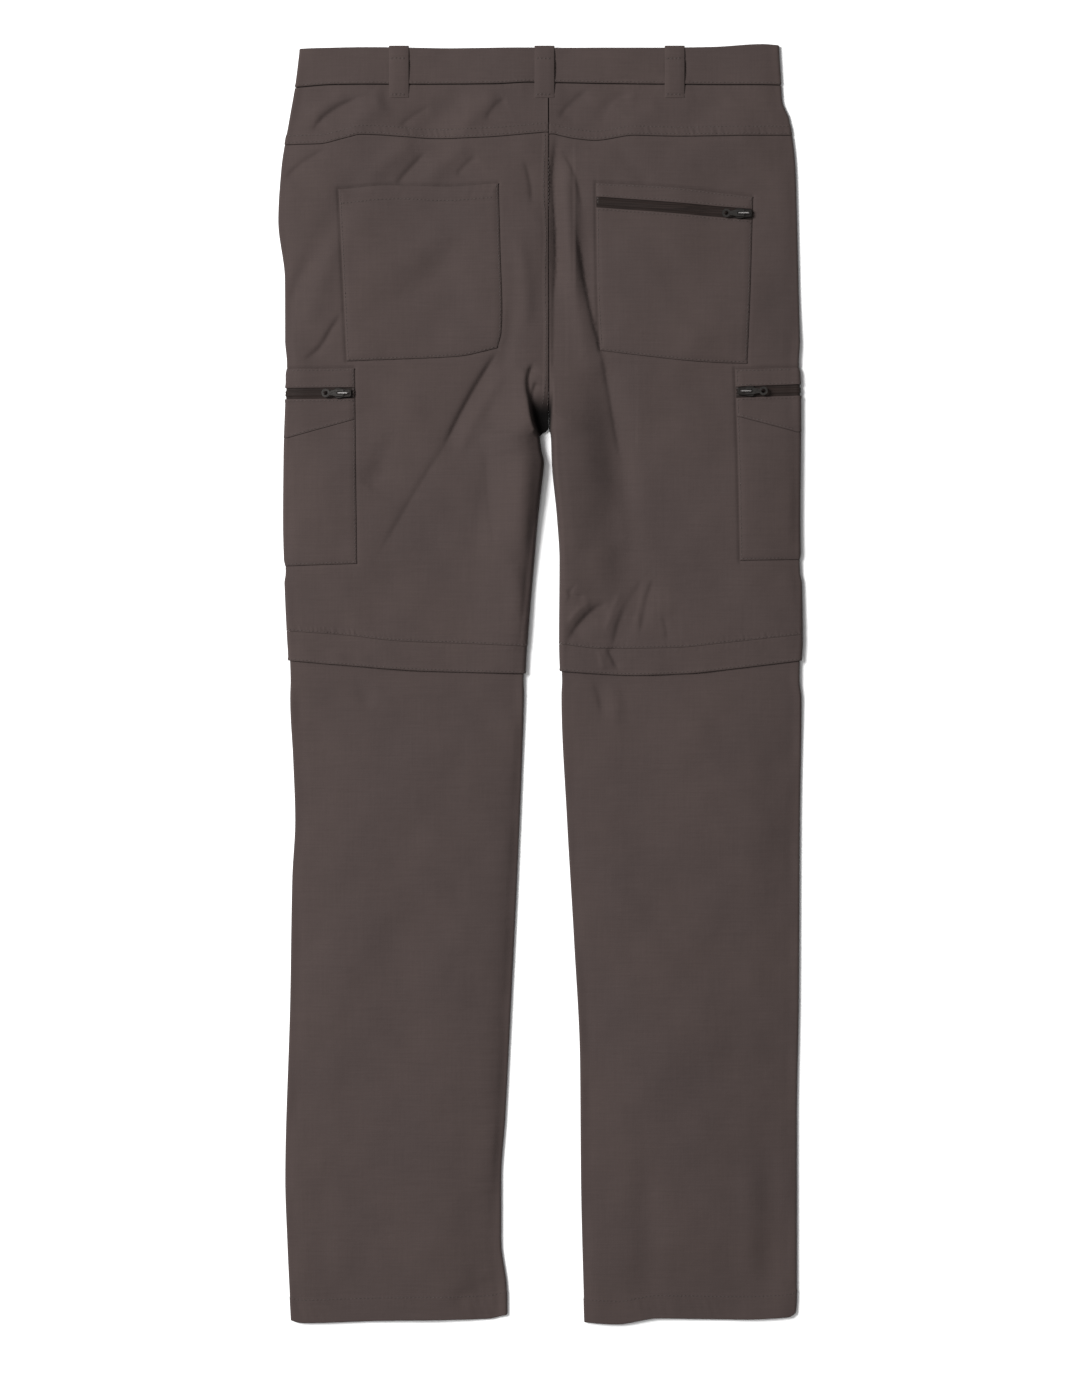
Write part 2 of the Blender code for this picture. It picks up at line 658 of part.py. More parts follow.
def poly_curve(name, outlines, closed=True, flat=True):
    data = bpy.data.curves.new(name, "CURVE")
    data.dimensions = "2D" if flat else "3D"
    for outline in outlines:
        spline = data.splines.new("POLY")
        spline.points.add(len(outline) - 1)
        for target, point in zip(spline.points, outline):
            target.co = (*[value / 1000 for value in point], *([0.0] * (3 - len(point))), 1.0)
        spline.use_cyclic_u = closed
    return data


def as_mesh(name, curve):
    """The curve's solid as a mesh with its caps welded on."""
    guide = bpy.data.objects.new(name + "_guide", curve)
    bpy.context.scene.collection.objects.link(guide)
    graph = bpy.context.evaluated_depsgraph_get()
    mesh = bpy.data.meshes.new_from_object(guide.evaluated_get(graph))
    bpy.data.objects.remove(guide)
    work = bmesh.new()
    work.from_mesh(mesh)
    bmesh.ops.remove_doubles(work, verts=work.verts, dist=1e-6)
    bmesh.ops.recalc_face_normals(work, faces=work.faces)
    work.to_mesh(mesh)
    work.free()
    return mesh


def slider(name, place, base):
    """A slider: a shouldered body with a bail, which is a wire arch along the zip."""
    half, wide = SLIDER_HALF_LENGTH, SLIDER_SHOULDER
    half_outline = ((-half, 0.55 * wide), (-0.8 * half, 0.72 * wide), (-0.1 * half, 0.8 * wide),
                    (0.35 * half, wide), (0.85 * half, wide), (half, 0.7 * wide))
    outline = [(x, -y) for x, y in half_outline] + [(x, y) for x, y in reversed(half_outline)]
    body_curve = poly_curve(name, [outline])
    body_curve.fill_mode = "BOTH"
    body_curve.extrude = SLIDER_HEIGHT / 2000
    mesh = as_mesh(name, body_curve)
    mesh.transform(Matrix.Translation((0, 0, SLIDER_HEIGHT / 2000)))

    foot, top = BAIL_FOOT, BAIL_TOP
    path = ((-foot, 0, 1.4), (-foot, 0, top - 0.9), (-foot + 0.9, 0, top), (foot - 0.9, 0, top),
            (foot, 0, top - 0.9), (foot, 0, 1.4))
    arch = poly_curve(name + "_bail", [path], closed=False, flat=False)
    arch.bevel_depth = BAIL_RADIUS / 1000
    arch.bevel_resolution = 2
    arch.use_fill_caps = True
    bail = bpy.data.objects.new(name + "_bail", as_mesh(name + "_bail", arch))
    CUTTERS.objects.link(bail)
    bail.hide_render = True
    bail.display_type = "WIRE"

    made = add_object(name, mesh, METAL_COLOUR, 0.35, 0.9)
    for item in (made, bail):
        item.location = base
        item.rotation_euler = (0, 0, 0 if place.heading > 0 else math.pi)
    edge = made.modifiers.new("Edges", "BEVEL")
    edge.width = 0.0003
    edge.segments = 1
    join = made.modifiers.new("Bail", "BOOLEAN")
    join.operation = "UNION"
    join.object = bail
    join.solver = "EXACT"


def pull_outlines():
    """The pull's flat outline from its bar to its ring, the slot round the bail and the ring's hole."""
    half, neck = PULL_HALF_WIDTH, 0.62 * PULL_HALF_WIDTH
    meet = math.asin(neck / RING_RADIUS)
    ring = [
        (RING_CENTRE + RING_RADIUS * math.cos(angle), RING_RADIUS * math.sin(angle))
        for angle in np.linspace(-math.pi + meet, math.pi - meet, 15)
    ]
    bar = PULL_HALF_THICK
    start = [(-bar, half - 0.4), (-bar, -half + 0.4), (-bar + 0.4, -half), (SLOT_END + 0.6, -half)]
    end = [(SLOT_END + 0.6, half), (-bar + 0.4, half)]
    slot = [(bar, -SLOT_HALF_WIDTH), (SLOT_END - 0.5, -SLOT_HALF_WIDTH), (SLOT_END, -0.7), (SLOT_END, 0.7),
            (SLOT_END - 0.5, SLOT_HALF_WIDTH), (bar, SLOT_HALF_WIDTH)]
    hole = [
        (RING_CENTRE + RING_HOLE * math.cos(angle), RING_HOLE * math.sin(angle))
        for angle in np.linspace(0, 2 * math.pi, 13)[:-1]
    ]
    return [start + ring + end, slot, hole]


def pull(name, place, base):
    """A zip pull, lying flat. Its bar passes under the bail. The empty on that bar is the joint's axis."""
    axis = bpy.data.objects.new(name + "_axis", None)
    axis.empty_display_size = 0.005
    axis.location = (base[0], base[1], base[2] + PIVOT_HEIGHT / 1000)
    axis.rotation_euler = (0, 0, 0 if place.heading > 0 else math.pi)
    PARTS.objects.link(axis)
    curve = poly_curve(name, pull_outlines())
    curve.fill_mode = "BOTH"
    curve.extrude = PULL_HALF_THICK / 1000
    made = add_object(name, as_mesh(name, curve), METAL_COLOUR, 0.35, 0.9)
    made.parent = axis


def zips():
    edges = (upper_side(-1), upper_side(1))
    for name, place in ZIPS.items():
        x, down, height = back_point(edges, place.x, place.down)
        base = metres(x, down, height + LAP_GAP + TAPE_WALL + SEAM_GAP)
        slider("slider_" + name, place, base)
        pull("pull_" + name, place, base)


for old in list(bpy.data.objects):
    bpy.data.objects.remove(old, do_unlink=True)
PARTS = bpy.data.collections.new("cargo_trousers")
CUTTERS = bpy.data.collections.new("joined_shapes")
bpy.context.scene.collection.children.link(PARTS)
bpy.context.scene.collection.children.link(CUTTERS)

waistband()
belt_loops()
back_pockets(upper_panels())
flaps_and_lower_legs()
for pocket_side in (-1, 1):
    cargo_pocket(pocket_side)
zips()
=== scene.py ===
"""Cargo trousers laid flat with the back up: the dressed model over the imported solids.

Lengths in the tables are millimetres. "down" runs from the waist to the hem and "x" from the wearer's left
side to the right side. Each leg is a flattened tube: a back layer lies over a front layer, and both turn
into a round fold at the sides.
"""
import math
from collections import namedtuple

import bpy
import numpy as np
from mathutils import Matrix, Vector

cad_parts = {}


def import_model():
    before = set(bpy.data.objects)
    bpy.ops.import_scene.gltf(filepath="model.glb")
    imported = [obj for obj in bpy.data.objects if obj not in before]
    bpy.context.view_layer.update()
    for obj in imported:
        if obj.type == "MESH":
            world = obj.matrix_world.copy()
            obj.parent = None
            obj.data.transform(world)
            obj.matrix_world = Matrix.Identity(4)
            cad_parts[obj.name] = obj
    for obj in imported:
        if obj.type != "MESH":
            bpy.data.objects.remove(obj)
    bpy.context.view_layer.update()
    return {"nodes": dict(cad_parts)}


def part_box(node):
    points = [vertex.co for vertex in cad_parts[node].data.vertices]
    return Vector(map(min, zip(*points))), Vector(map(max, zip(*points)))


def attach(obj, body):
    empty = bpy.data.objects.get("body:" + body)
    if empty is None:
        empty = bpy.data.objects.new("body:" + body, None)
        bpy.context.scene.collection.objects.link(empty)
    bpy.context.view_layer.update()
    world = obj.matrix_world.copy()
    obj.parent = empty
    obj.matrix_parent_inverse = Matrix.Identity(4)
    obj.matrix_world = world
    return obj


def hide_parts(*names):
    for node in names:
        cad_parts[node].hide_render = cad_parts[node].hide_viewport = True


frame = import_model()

BODY = "garment"

# Driving sizes, the same as the solids'
SIDES = (-1, 1)
LENGTH = 1082.0
BOX_MIDDLE_X = -0.4
CENTRE_SEAM_X = 6.6
CROTCH_DOWN = 332.0
INSEAMS_PART_DOWN = 325.0
CROTCH_TURN = (308.0, 337.0)
WALL = 1.2
BAND_WALL = 1.8
TAPE_WALL = 1.0
SEAM_GAP = 0.3
HALF_GAP = SEAM_GAP / 2
WAIST_GAP = 0.45
CENTRE_GAP = 0.12
FLAP_GAP = 0.1
LAP_GAP = 0.35
LAP = LAP_GAP + WALL
POCKET_WALL = 0.7
POCKET_RISE = 1.15  # of a pocket's outer face over the cloth under it
LEG_RADIUS = 2.4
BAND_RADIUS = 2.7
FLAP_RADIUS = LEG_RADIUS + LAP
LOWER_RADIUS = LEG_RADIUS - 0.05
FLAP_SWELL = (444.0, 498.0)
POCKET_RAMP_TOP = (250.0, 270.0)
POCKET_RAMP_BOTTOM = (446.0, 456.0)
POCKET_RAMP_INSET = (71.0, 79.0)
LOWER_RAMP = (536.0, 548.0)
FLAP_CLEAR = (534.0, 550.0)
UNDER_FLAP = LAP + 0.05  # how far a lower leg's edge lies inside the flap's
LOWER_EASE = (536.0, 612.0)

# Outline tables: (down, x)
SIDE_LEFT = (
    (0, -203.6), (35, -207.9), (64, -212.9), (106, -219.7), (149, -222.2), (199, -216.6), (284, -216.3),
    (343, -218.0), (402, -218.5), (470, -216.3), (525, -213.6), (545, -213.0),
)
SIDE_RIGHT = (
    (0, 201.1), (35, 203.2), (47, 203.8), (64, 210.0), (106, 215.3), (149, 216.5), (250, 218.9),
    (309, 220.3), (402, 219.7), (504, 221.4), (525, 220.2), (545, 220.0),
)
INSEAM_LEFT = (
    (300, 4.0), (329, -1.5), (343, 0.0), (353, 2.1), (375, 0.0), (402, -3.0), (436, -5.9), (504, -11.5),
    (545, -13.6),
)
INSEAM_RIGHT = ((300, 8.0), (329, 8.4), (353, 9.1), (402, 13.6), (436, 15.6), (504, 15.2), (545, 16.6))
LOWER_SIDE_LEFT = (
    (495, -211.9), (554, -212.1), (605, -209.6), (656, -207.9), (706, -210.4), (808, -212.1),
    (960, -216.3), (1011, -214.6), (1082, -211.2),
)
LOWER_SIDE_RIGHT = (
    (495, 218.0), (530, 218.2), (554, 220.3), (656, 218.9), (808, 218.0), (909, 216.3), (1053, 216.3),
    (1082, 214.6),
)
LOWER_INSEAM_LEFT = (
    (495, -13.6), (554, -14.4), (605, -16.1), (706, -20.3), (808, -25.3), (909, -30.4), (960, -33.8),
    (1011, -33.8), (1053, -29.0), (1082, -28.7),
)
LOWER_INSEAM_RIGHT = (
    (495, 17.2), (554, 17.3), (656, 22.0), (757, 27.9), (859, 33.0), (960, 33.8), (1082, 36.8),
)

# Seams and edges across the cloth: (x, down)
WAIST_TOP = (
    (-205, 3.8), (-146, 2.6), (-73, 3.4), (-10, 3.0), (68, 3.2), (145, 2.4), (189, 0.0), (201, 0.8),
)
WAIST_SEAM = ((-208, 36.5), (-174, 34.2), (-41, 33.7), (-6, 32.2), (53, 33.4), (204, 34.5))
YOKE_SEAM = {
    -1: ((-215, 85), (-187, 84.6), (-166, 80), (-151, 76.8), (-80, 80.2), (-49, 79.2), (4, 74.8)),
    1: ((11, 76.3), (30, 80.3), (46, 81.6), (79, 77.6), (116, 78.2), (213, 77)),
}
FLAP_SEAM = {
    -1: ((-215, 496), (-166, 499.5), (-120, 504.5), (-57, 507), (-13, 509)),
    1: ((16, 507), (53, 511), (116, 510), (147, 507), (221, 499)),
}
FLAP_EDGE = {
    -1: ((-213, 521), (-166, 525), (-96, 530), (-13, 532)),
    1: ((16, 530), (77, 533.5), (123, 532), (162, 528), (220, 521)),
}
HEM = {
    -1: ((-211, 1079), (-203, 1081), (-135, 1079), (-45, 1077.5), (-29, 1074)),
    1: ((37, 1080.5), (64, 1082), (99, 1077), (171, 1078), (210, 1076), (215, 1073)),
}

# Patch pockets: top and bottom are (x, down), left and right are (down, x)
Patch = namedtuple("Patch", "top bottom left right")
LEFT_POCKET = Patch(
    ((-171, 123), (-122, 119.3), (-80, 120.6), (-36, 118)),
    ((-164, 268), (-109, 266), (-70, 264), (-37, 257)),
    ((123, -171), (197, -167.3), (268, -164)),
    ((118, -36), (171, -34.6), (225, -33), (243, -33.6), (257, -37)),
)
RIGHT_LEFT = ((117.5, 46.5), (204, 47.6), (259, 50))
RIGHT_RIGHT = ((129, 179), (190, 177.2), (270, 174))
RIGHT_TOP = ((46.5, 117.5), (86, 119.2), (128, 122.8), (179, 129))
RIGHT_BOTTOM = ((50, 259), (86, 263.5), (135, 268.5), (174, 270))
RIGHT_ZIP_TOP = ((46.9, 129.5), (100, 133.4), (178.5, 139.8))
RIGHT_ZIP_BOTTOM = ((47.1, 138.2), (100, 142.2), (178.2, 148.6))

# The side pockets' seams: down at the side fold and at the pocket's inner edge
CARGO_SEAM_NAMES = ("top", "zip_top", "zip_bottom", "slant", "bottom")
CARGO_SEAMS = {
    side: dict(zip(CARGO_SEAM_NAMES, rows)) for side, rows in (
        (-1, ((274.5, 274.0), (291.0, 290.5), (300.0, 299.5), (333.0, 317.0), (441.0, 439.0))),
        (1, ((273.5, 274.8), (287.8, 290.0), (297.0, 299.0), (328.0, 314.5), (435.5, 436.5))),
    )
}
CARGO_INNER_X = {-1: ((274, -157.5), (439, -155.5)), 1: ((274, 164.0), (339, 166.0), (437, 168.0))}


def turned(table):
    """(down, x) rows as (x, down)."""
    return tuple(row[::-1] for row in table)


# The grooves that sewn edges press into the cloth round a pocket: (line, depth)
LIT, LOWER_EDGE, SHADED = 1.3, 0.9, 0.4
POCKET_LINES = (
    (LEFT_POCKET.top, LIT), (turned(LEFT_POCKET.left), LIT),
    (LEFT_POCKET.bottom, LOWER_EDGE), (turned(LEFT_POCKET.right), SHADED),
    (RIGHT_TOP, LIT), (turned(RIGHT_LEFT), LIT), (RIGHT_BOTTOM, LOWER_EDGE), (turned(RIGHT_RIGHT), SHADED),
    (turned(CARGO_INNER_X[-1]), SHADED), (turned(CARGO_INNER_X[1]), LIT),
    (((-217, 274.5), (-157.5, 274.0)), LIT), (((-217, 441), (-155.5, 439)), LOWER_EDGE),
    (((164, 274.8), (219, 273.5)), LIT), (((168, 436.5), (219, 435.5)), LOWER_EDGE),
)
GROOVE_WIDTH, GROOVE_REACH, GROOVE_SAMPLES = 1.5, 4.0, 90

BELT_LOOPS = {"left": (-128.5, -111.5), "centre": (-5.5, 11.5), "right": (104.5, 121.5)}
LOOP_WALL = 0.7
LOOP_RISE = 0.9
LOOP_PATH = (
    (1.4, 0.0), (6, 0.3), (18, 0.9), (30, 0.4), (36, 0.05), (40, -0.35), (45.5, -0.6),
)  # (down, height over the waistband)

# Folds of the back layer. A height below 0 is a trough
Fold = namedtuple("Fold", "width height path")


def fold_table(*rows):
    """Folds from rows of (half width, height, x, down, x, down and so on)."""
    return [Fold(*row[:2], np.reshape(row[2:], (-1, 2))) for row in rows]


MAIN_FOLDS = fold_table(
    (15, -1.3, -34, 272, -60, 318, -86, 362), (16, 0.9, -12, 318, -40, 350, -70, 400),
    (13, -1.5, 50, 268, 61, 318, 71, 402), (22, -0.8, 73, 410, 76, 450, 84, 490),
    (14, 1.0, 32, 300, 40, 350, 48, 420), (8, -1.5, 12, 84, 11, 145, 12, 215),
    (9, 1.1, 19, 92, 25, 160, 32, 235), (8, -1.0, 24, 104, 35, 165, 40, 232),
    (8, 1.2, -12, 274, -14, 290, -9, 322), (7, -0.8, 24, 499, 34, 490, 46, 482),
    (8, -0.8, 64, 498, 76, 486, 90, 472), (12, -0.7, -147, 377, -138, 365, -128, 352),
    (9, 1.3, -168, 82, -142, 55, -116, 36), (9, -1.2, -108, 84, -84, 60, -60, 40),
    (8, 1.2, -74, 80, -54, 58, -34, 42), (10, 0.9, 66, 80, 92, 58, 116, 40),
    (10, -0.9, 118, 78, 140, 58, 160, 42), (9, 1.2, -152, 122, -128, 98, -104, 82),
    (8, 1.0, -102, 122, -80, 100, -58, 84), (12, -1.2, -196, 200, -178, 152, -148, 110),
    (10, 1.1, -200, 246, -186, 200, -172, 156), (13, -0.9, 28, 420, 40, 455, 56, 500),
)
MAIN_LOWER_FOLDS = fold_table(
    (26, 0.7, -170, 560, -150, 700, -165, 860), (30, 0.6, -75, 620, -70, 780, -80, 980),
    (22, -0.7, 80, 545, 90, 640, 84, 760), (15, -0.6, 180, 860, 187, 980, 184, 1076),
    (14, -0.7, 96, 930, 88, 1000, 98, 1066), (9, -0.7, -62, 1030, -50, 1050, -42, 1066),
)
FINE_FOLDS = fold_table(
    (4.0, -0.9, -194, 76, -177, 57, -148, 44), (6.0, 0.5, -196, 66, -182, 52, -161, 41),
    (4.0, -0.55, -121, 72, -108, 61, -92, 52), (4.0, -0.5, -48, 68, -39, 53, -28, 46),
    (4.5, -0.75, 14, 64, 26, 50, 41, 38), (6.0, -0.45, 46, 66, 60, 51, 79, 41),
    (5.0, 0.4, 58, 57, 68, 47, 84, 44), (4.5, -0.8, -123, 120, -111, 106, -95, 90),
    (4.0, -0.5, -72, 113, -64, 103, -53, 94), (5.0, -0.6, -219, 118, -202, 101, -178, 88),
    (6.0, -0.5, -215, 220, -204, 198, -194, 179), (3.6, -0.8, -203, 269, -188, 258, -177, 241, -167, 226),
    (15.0, -0.8, -60, 159, -90, 191, -121, 218, -161, 235), (14.0, 0.4, -75, 150, -106, 178, -153, 204),
    (4.0, -0.6, -15, 96, -9, 117, -8, 137), (7.0, 0.7, -21, 159, -13, 204, -15, 248),
    (6.0, -0.4, -25, 216, -28, 254, -35, 282), (3.6, -1.35, -34, 256, -52, 284, -65, 307, -84, 344),
    (6.0, 0.55, -28, 272, -45, 299, -60, 324, -72, 353), (9.0, -0.5, -121, 324, -134, 352, -150, 379),
    (5.4, -0.5, -76, 330, -110, 385, -138, 434), (5.0, -0.3, -45, 332, -45, 380, -37, 436),
    (2.4, -1.5, -5.6, 270, -11, 284, -8, 305), (2.0, -1.1, -3.6, 285, -6.2, 293, -8.8, 302),
    (8.0, 0.6, -14, 335, -15, 385, -18, 436), (3.8, -1.2, 29, 150, 36, 193, 45, 237, 53, 270),
    (4.4, -1.0, 50, 250, 60, 308, 68, 352), (8.0, 0.8, 21, 140, 26, 191, 35, 242, 41, 284),
    (9.0, -0.55, 66, 335, 72, 377, 79, 436), (5.0, -1.8, 13.4, 74, 10.4, 115, 12.0, 144, 13.0, 176, 10.8, 220),
    (3.6, -0.5, 11, 190, 10.6, 240, 10, 290), (9.0, 0.7, 26, 90, 21, 125, 24, 165, 27, 205),
    (7.0, -0.35, 60, 83, 79, 105, 95, 120), (4.5, -0.7, 16, 88, 29, 111, 35, 144),
    (3.2, -1.3, 22, 506, 38, 484, 56, 472), (4.0, 0.55, 21, 493, 31, 479, 43, 471),
    (3.0, -0.6, 21, 461, 28, 466, 38, 466), (4.4, -1.5, 60, 510, 68, 487, 76, 470, 86, 452),
    (5.0, 0.5, 53, 499, 60, 480, 68, 461), (3.8, -0.9, 84, 500, 89, 472, 95, 452),
    (3.4, 0.5, 79, 493, 83, 475, 86, 460), (4.0, -0.35, 106, 505, 106, 495, 102, 480),
    (2.8, -0.7, 56, 510, 60, 518, 66, 530), (3.0, 0.35, 48, 512, 51, 521, 52, 530),
    (14.0, -0.7, 68, 419, 74, 453, 68, 488), (8.0, 0.6, -25, 436, -20, 461, -23, 488),
    (4.0, -0.5, -12, 449, -11, 470, -15, 493), (14.0, -0.4, -121, 436, -136, 470, -148, 500),
)
FINE_LOWER_FOLDS = fold_table(
    (7.0, -0.5, -160, 529, -151, 544, -146, 564), (4.0, -0.7, 41, 529, 48, 546, 52, 568),
    (6.0, 0.5, 58, 532, 62, 554, 63, 580), (15.0, 0.75, -30, 571, -36, 723, -45, 900, -42, 1050),
    (7.0, -0.4, -48, 1050, -62, 1056, -76, 1068), (6.5, -0.25, -37, 1036, -48, 1053, -57, 1068),
    (10.0, -0.3, 191, 900, 195, 1000, 192, 1076), (10.0, 0.4, 178, 935, 178, 1002, 177, 1061),
    (12.0, -0.35, 84, 920, 93, 1005, 88, 1078), (12.0, -0.45, -178, 935, -183, 1002, -178, 1065),
)
MAIN_STRENGTH = 1.45
FINE_STRENGTH = 2.5
HIGHEST = 5.5
DEEPEST = 2.3  # of a trough, where nothing lifts the back layer
FOLD_MARGIN = (1.0, 9.0)
SHARP_WIDTH = 6.0  # folds narrower than this have a crease along their middle,
STEEP_SIDE = (-0.85, -0.53)  # steep on this side
SHARP_SIDES = (0.38, 1.9)  # and gentle on the other
CREASE_ROUND = 0.6
FADE, END_SHARE = 0.26, 0.08  # share of a fold's length over which it fades, and what is left at its ends

# The back layer eases onto the side pockets more gently than the solids do
EASE_TOP = (206.0, 268.0)
EASE_BOTTOM = (443.0, 492.0)
EASE_INSET = (69.0, 128.0)

# The thighs' inner sides stand up round the crotch: (down, height)
PUFF = ((235, 0.0), (290, 3.4), (328, 11.0), (372, 12.0), (430, 6.6), (480, 2.8), (520, 1.0), (560, 0.3))
PUFF_TURNS = (13.0, 5.0)  # width of its rise beside the left leg's edge and the right one's
PUFF_EDGE = 0.5  # share of it that is there at the edge
PUFF_REACH = 52.0
INNER_REACH = 60.0  # an edge as near as this to the centre seam is a leg's inner one

# The hollow over the crotch, where the cloth lies on the front: (down, x) of its borders
HOLLOW_LEFT = ((276, -15.4), (284, -14.2), (297, -11.8), (318, -8.2), (332, -3.2), (343, 0.6))
HOLLOW_RIGHT = ((276, 10.8), (294, 10.4), (309, 9.7), (329, 8.7), (343, 8.7))
HOLLOW_TOP = (280.0, 317.0)
HOLLOW_END = (338.0, 350.0)
HOLLOW_FLOOR = 2.75
SHADE_TOP = (290.0, 313.0)
HOLLOW_BANK, SHADE_BANK = 4.5, 4.0  # widths of the slope and of the shading on the hollow's left
LEFT_START, RIGHT_START, RIGHT_END = 0.8, 1.8, 0.6  # how far past its borders its sides begin and end

LOFT = 3.0  # how far the middle of each leg's back stands up
LOFT_INSET = (2.0, 46.0)
UPPER_LOFT = ((36, 92), (432, 498))
LOWER_LOFT = ((540, 610), (1010, 1080))
ZIP_ENDS = ((171.0, 143.0), (-167.0, 295.0), (173.0, 293.5))  # the sliders' places keep their height
CALM_LOFT = (24.0, 66.0)
CALM_FOLDS = (12.0, 26.0)
LOOP_ENDS = ((-120.0, 42.0), (3.0, 42.0), (113.0, 42.0))
CALM_LOOPS = (10.0, 21.0)

FRONT_SEAM_SHIFT = -2.5  # the fronts' seam lies beside the backs' one, down to the crotch
FRONT_SEAM_JOINS = (272.0, 304.0)

ROLL = 0.8  # the back layer falls by this towards its round sides
ROLL_WIDTH = 15.0

ARC = np.array((0, 5, 10, 18, 27, 36, 46, 57, 68, 79, 90), float)
COARSE_ARC = np.array((0, 8, 20, 36, 54, 72, 90), float)
UPRIGHT = 8.0
FLAT_TURN = 8.0  # how far a flat seam's fine columns reach in
TURN_SPREAD = 1.1
SEAM_BLEND = 40.0  # how far from a seam the rows still follow its curve
FINE_STEP = 1.35
LEG_STEP = 1.9
COARSE_STEP = 7.0
EDGE_LINES = np.array((0, 0.45, 1.1, 2.0, 3.2))
EDGE_ROOM = 0.4  # the most of a piece that one end's lines take
SEAM_PASSES = 4  # for rows and columns that lean on each other to settle


def smooth(value, low, high):
    share = np.clip((np.asarray(value, float) - low) / (high - low), 0.0, 1.0)
    return share * share * (3 - 2 * share)


def between(value, rise, fall):
    """Up from 0 to 1 over the places of rise, and down again over those of fall."""
    return smooth(value, *rise) * (1 - smooth(value, *fall))


def along(table, value):
    """A smooth curve through a table's rows, flat past its ends."""
    at, height = np.array(table, float).T
    slope = np.diff(height) / np.diff(at)
    tangent = np.zeros(len(at))
    product, total = slope[:-1] * slope[1:], slope[:-1] + slope[1:]
    same_way = product > 0
    tangent[1:-1][same_way] = 2 * product[same_way] / total[same_way]
    tangent[0], tangent[-1] = slope[0], slope[-1]
    value = np.clip(np.asarray(value, float), at[0], at[-1])
    i = np.clip(np.searchsorted(at, value, side="right") - 1, 0, len(at) - 2)
    span = at[i + 1] - at[i]
    t = (value - at[i]) / span
    return (
        (1 + 2 * t) * (1 - t) ** 2 * height[i]
        + t * (1 - t) ** 2 * span * tangent[i]
        + t * t * (3 - 2 * t) * height[i + 1]
        - t * t * (1 - t) * span * tangent[i + 1]
    )


def seam(table, by=0.0):
    """An edge across the cloth, as a function of x, with its middle height."""
    mean = float(np.mean([row[1] for row in table])) + by
    return lambda x: along(table, x) + by, mean


# Relief of the back layer

def path_samples(path, count=41):
    points = np.array(path, float)
    if len(points) == 3:
        t = np.linspace(0, 1, count)[:, None]
        middle = 2 * points[1] - (points[0] + points[2]) / 2
        return (1 - t) ** 2 * points[0] + 2 * t * (1 - t) * middle + t * t * points[2]
    reach = np.concatenate(([0], np.cumsum(np.hypot(*np.diff(points, axis=0).T))))
    at = np.linspace(0, reach[-1], count)
    return np.stack([along(np.stack((reach, points[:, axis]), 1), at) for axis in (0, 1)], 1)


def near_path(path, reach, x, down):
    """Which points lie near a path, and how far each of those is across and down from each of its samples."""
    low, high = path.min(0) - reach, path.max(0) + reach
    near = (x > low[0]) & (x < high[0]) & (down > low[1]) & (down < high[1])
    return near, x[near][:, None] - path[:, 0], down[near][:, None] - path[:, 1]


def fold_height(x, down, folds):
    total = np.zeros(x.shape)
    for fold in folds:
        near, across, below = near_path(path_samples(fold.path), 3 * fold.width, x, down)
        if not near.any():
            continue
        off = np.hypot(across, below)
        nearest = off.argmin(axis=1)
        place = nearest / (off.shape[1] - 1)
        away = off.min(axis=1)
        fade = END_SHARE + (1 - END_SHARE) * smooth(place, 0, FADE) * smooth(1 - place, 0, FADE)
        if fold.width < SHARP_WIDTH:
            row = np.arange(len(nearest))
            steep = across[row, nearest] * STEEP_SIDE[0] + below[row, nearest] * STEEP_SIDE[1]
            width = fold.width * np.where(steep > 0, *SHARP_SIDES)
            profile = np.exp(-(np.sqrt(away**2 + CREASE_ROUND**2) - CREASE_ROUND) / width)
        else:
            profile = np.exp(-((away / fold.width) ** 2))
        total[near] += fold.height * fade * profile
    return total


WAVE_RANDOM = np.random.default_rng(11)
WAVES = [
    (length, WAVE_RANDOM.uniform(-0.9, 1.5), WAVE_RANDOM.uniform(0, 2 * math.pi))
    for length in np.geomspace(26, 190, 18)
]
WAVE_SLOPE = 0.0021
WAVE_BEND, BEND_LENGTH = 0.35, 0.55  # the length is a share of the wave's


def undulation(x, down):
    """The cloth's soft unevenness: long low waves, most of them slanting."""
    total = np.zeros(np.shape(x))
    for length, angle, phase in WAVES:
        across = x * math.cos(angle) + down * math.sin(angle)
        beside = down * math.cos(angle) - x * math.sin(angle)
        bend = WAVE_BEND * np.sin(beside / (BEND_LENGTH * length) + phase)
        total += WAVE_SLOPE * length * np.sin(2 * math.pi * across / length + phase + bend)
    return total


def outline_groove(x, down):
    """The line that each pocket's sewn edge presses into the cloth round it."""
    total = np.zeros(x.shape)
    for line, depth in POCKET_LINES:
        ends_only = len(line) == 2
        path = np.linspace(*line, GROOVE_SAMPLES) if ends_only else path_samples(line, GROOVE_SAMPLES)
        near, across, below = near_path(path, GROOVE_REACH, x, down)
        if near.any():
            off = np.hypot(across, below).min(axis=1)
            total[near] = np.minimum(total[near], -depth * np.exp(-((off / GROOVE_WIDTH) ** 2)))
    return total


def calm(x, down, reach, places=ZIP_ENDS):
    """0 round the zip sliders, or other places, and 1 away from them."""
    share = 1.0
    for at in places:
        share = share * smooth(np.hypot(x - at[0], down - at[1]), *reach)
    return share


def limited(total, most):
    return total / (1 + np.abs(total / most) ** 4) ** 0.25


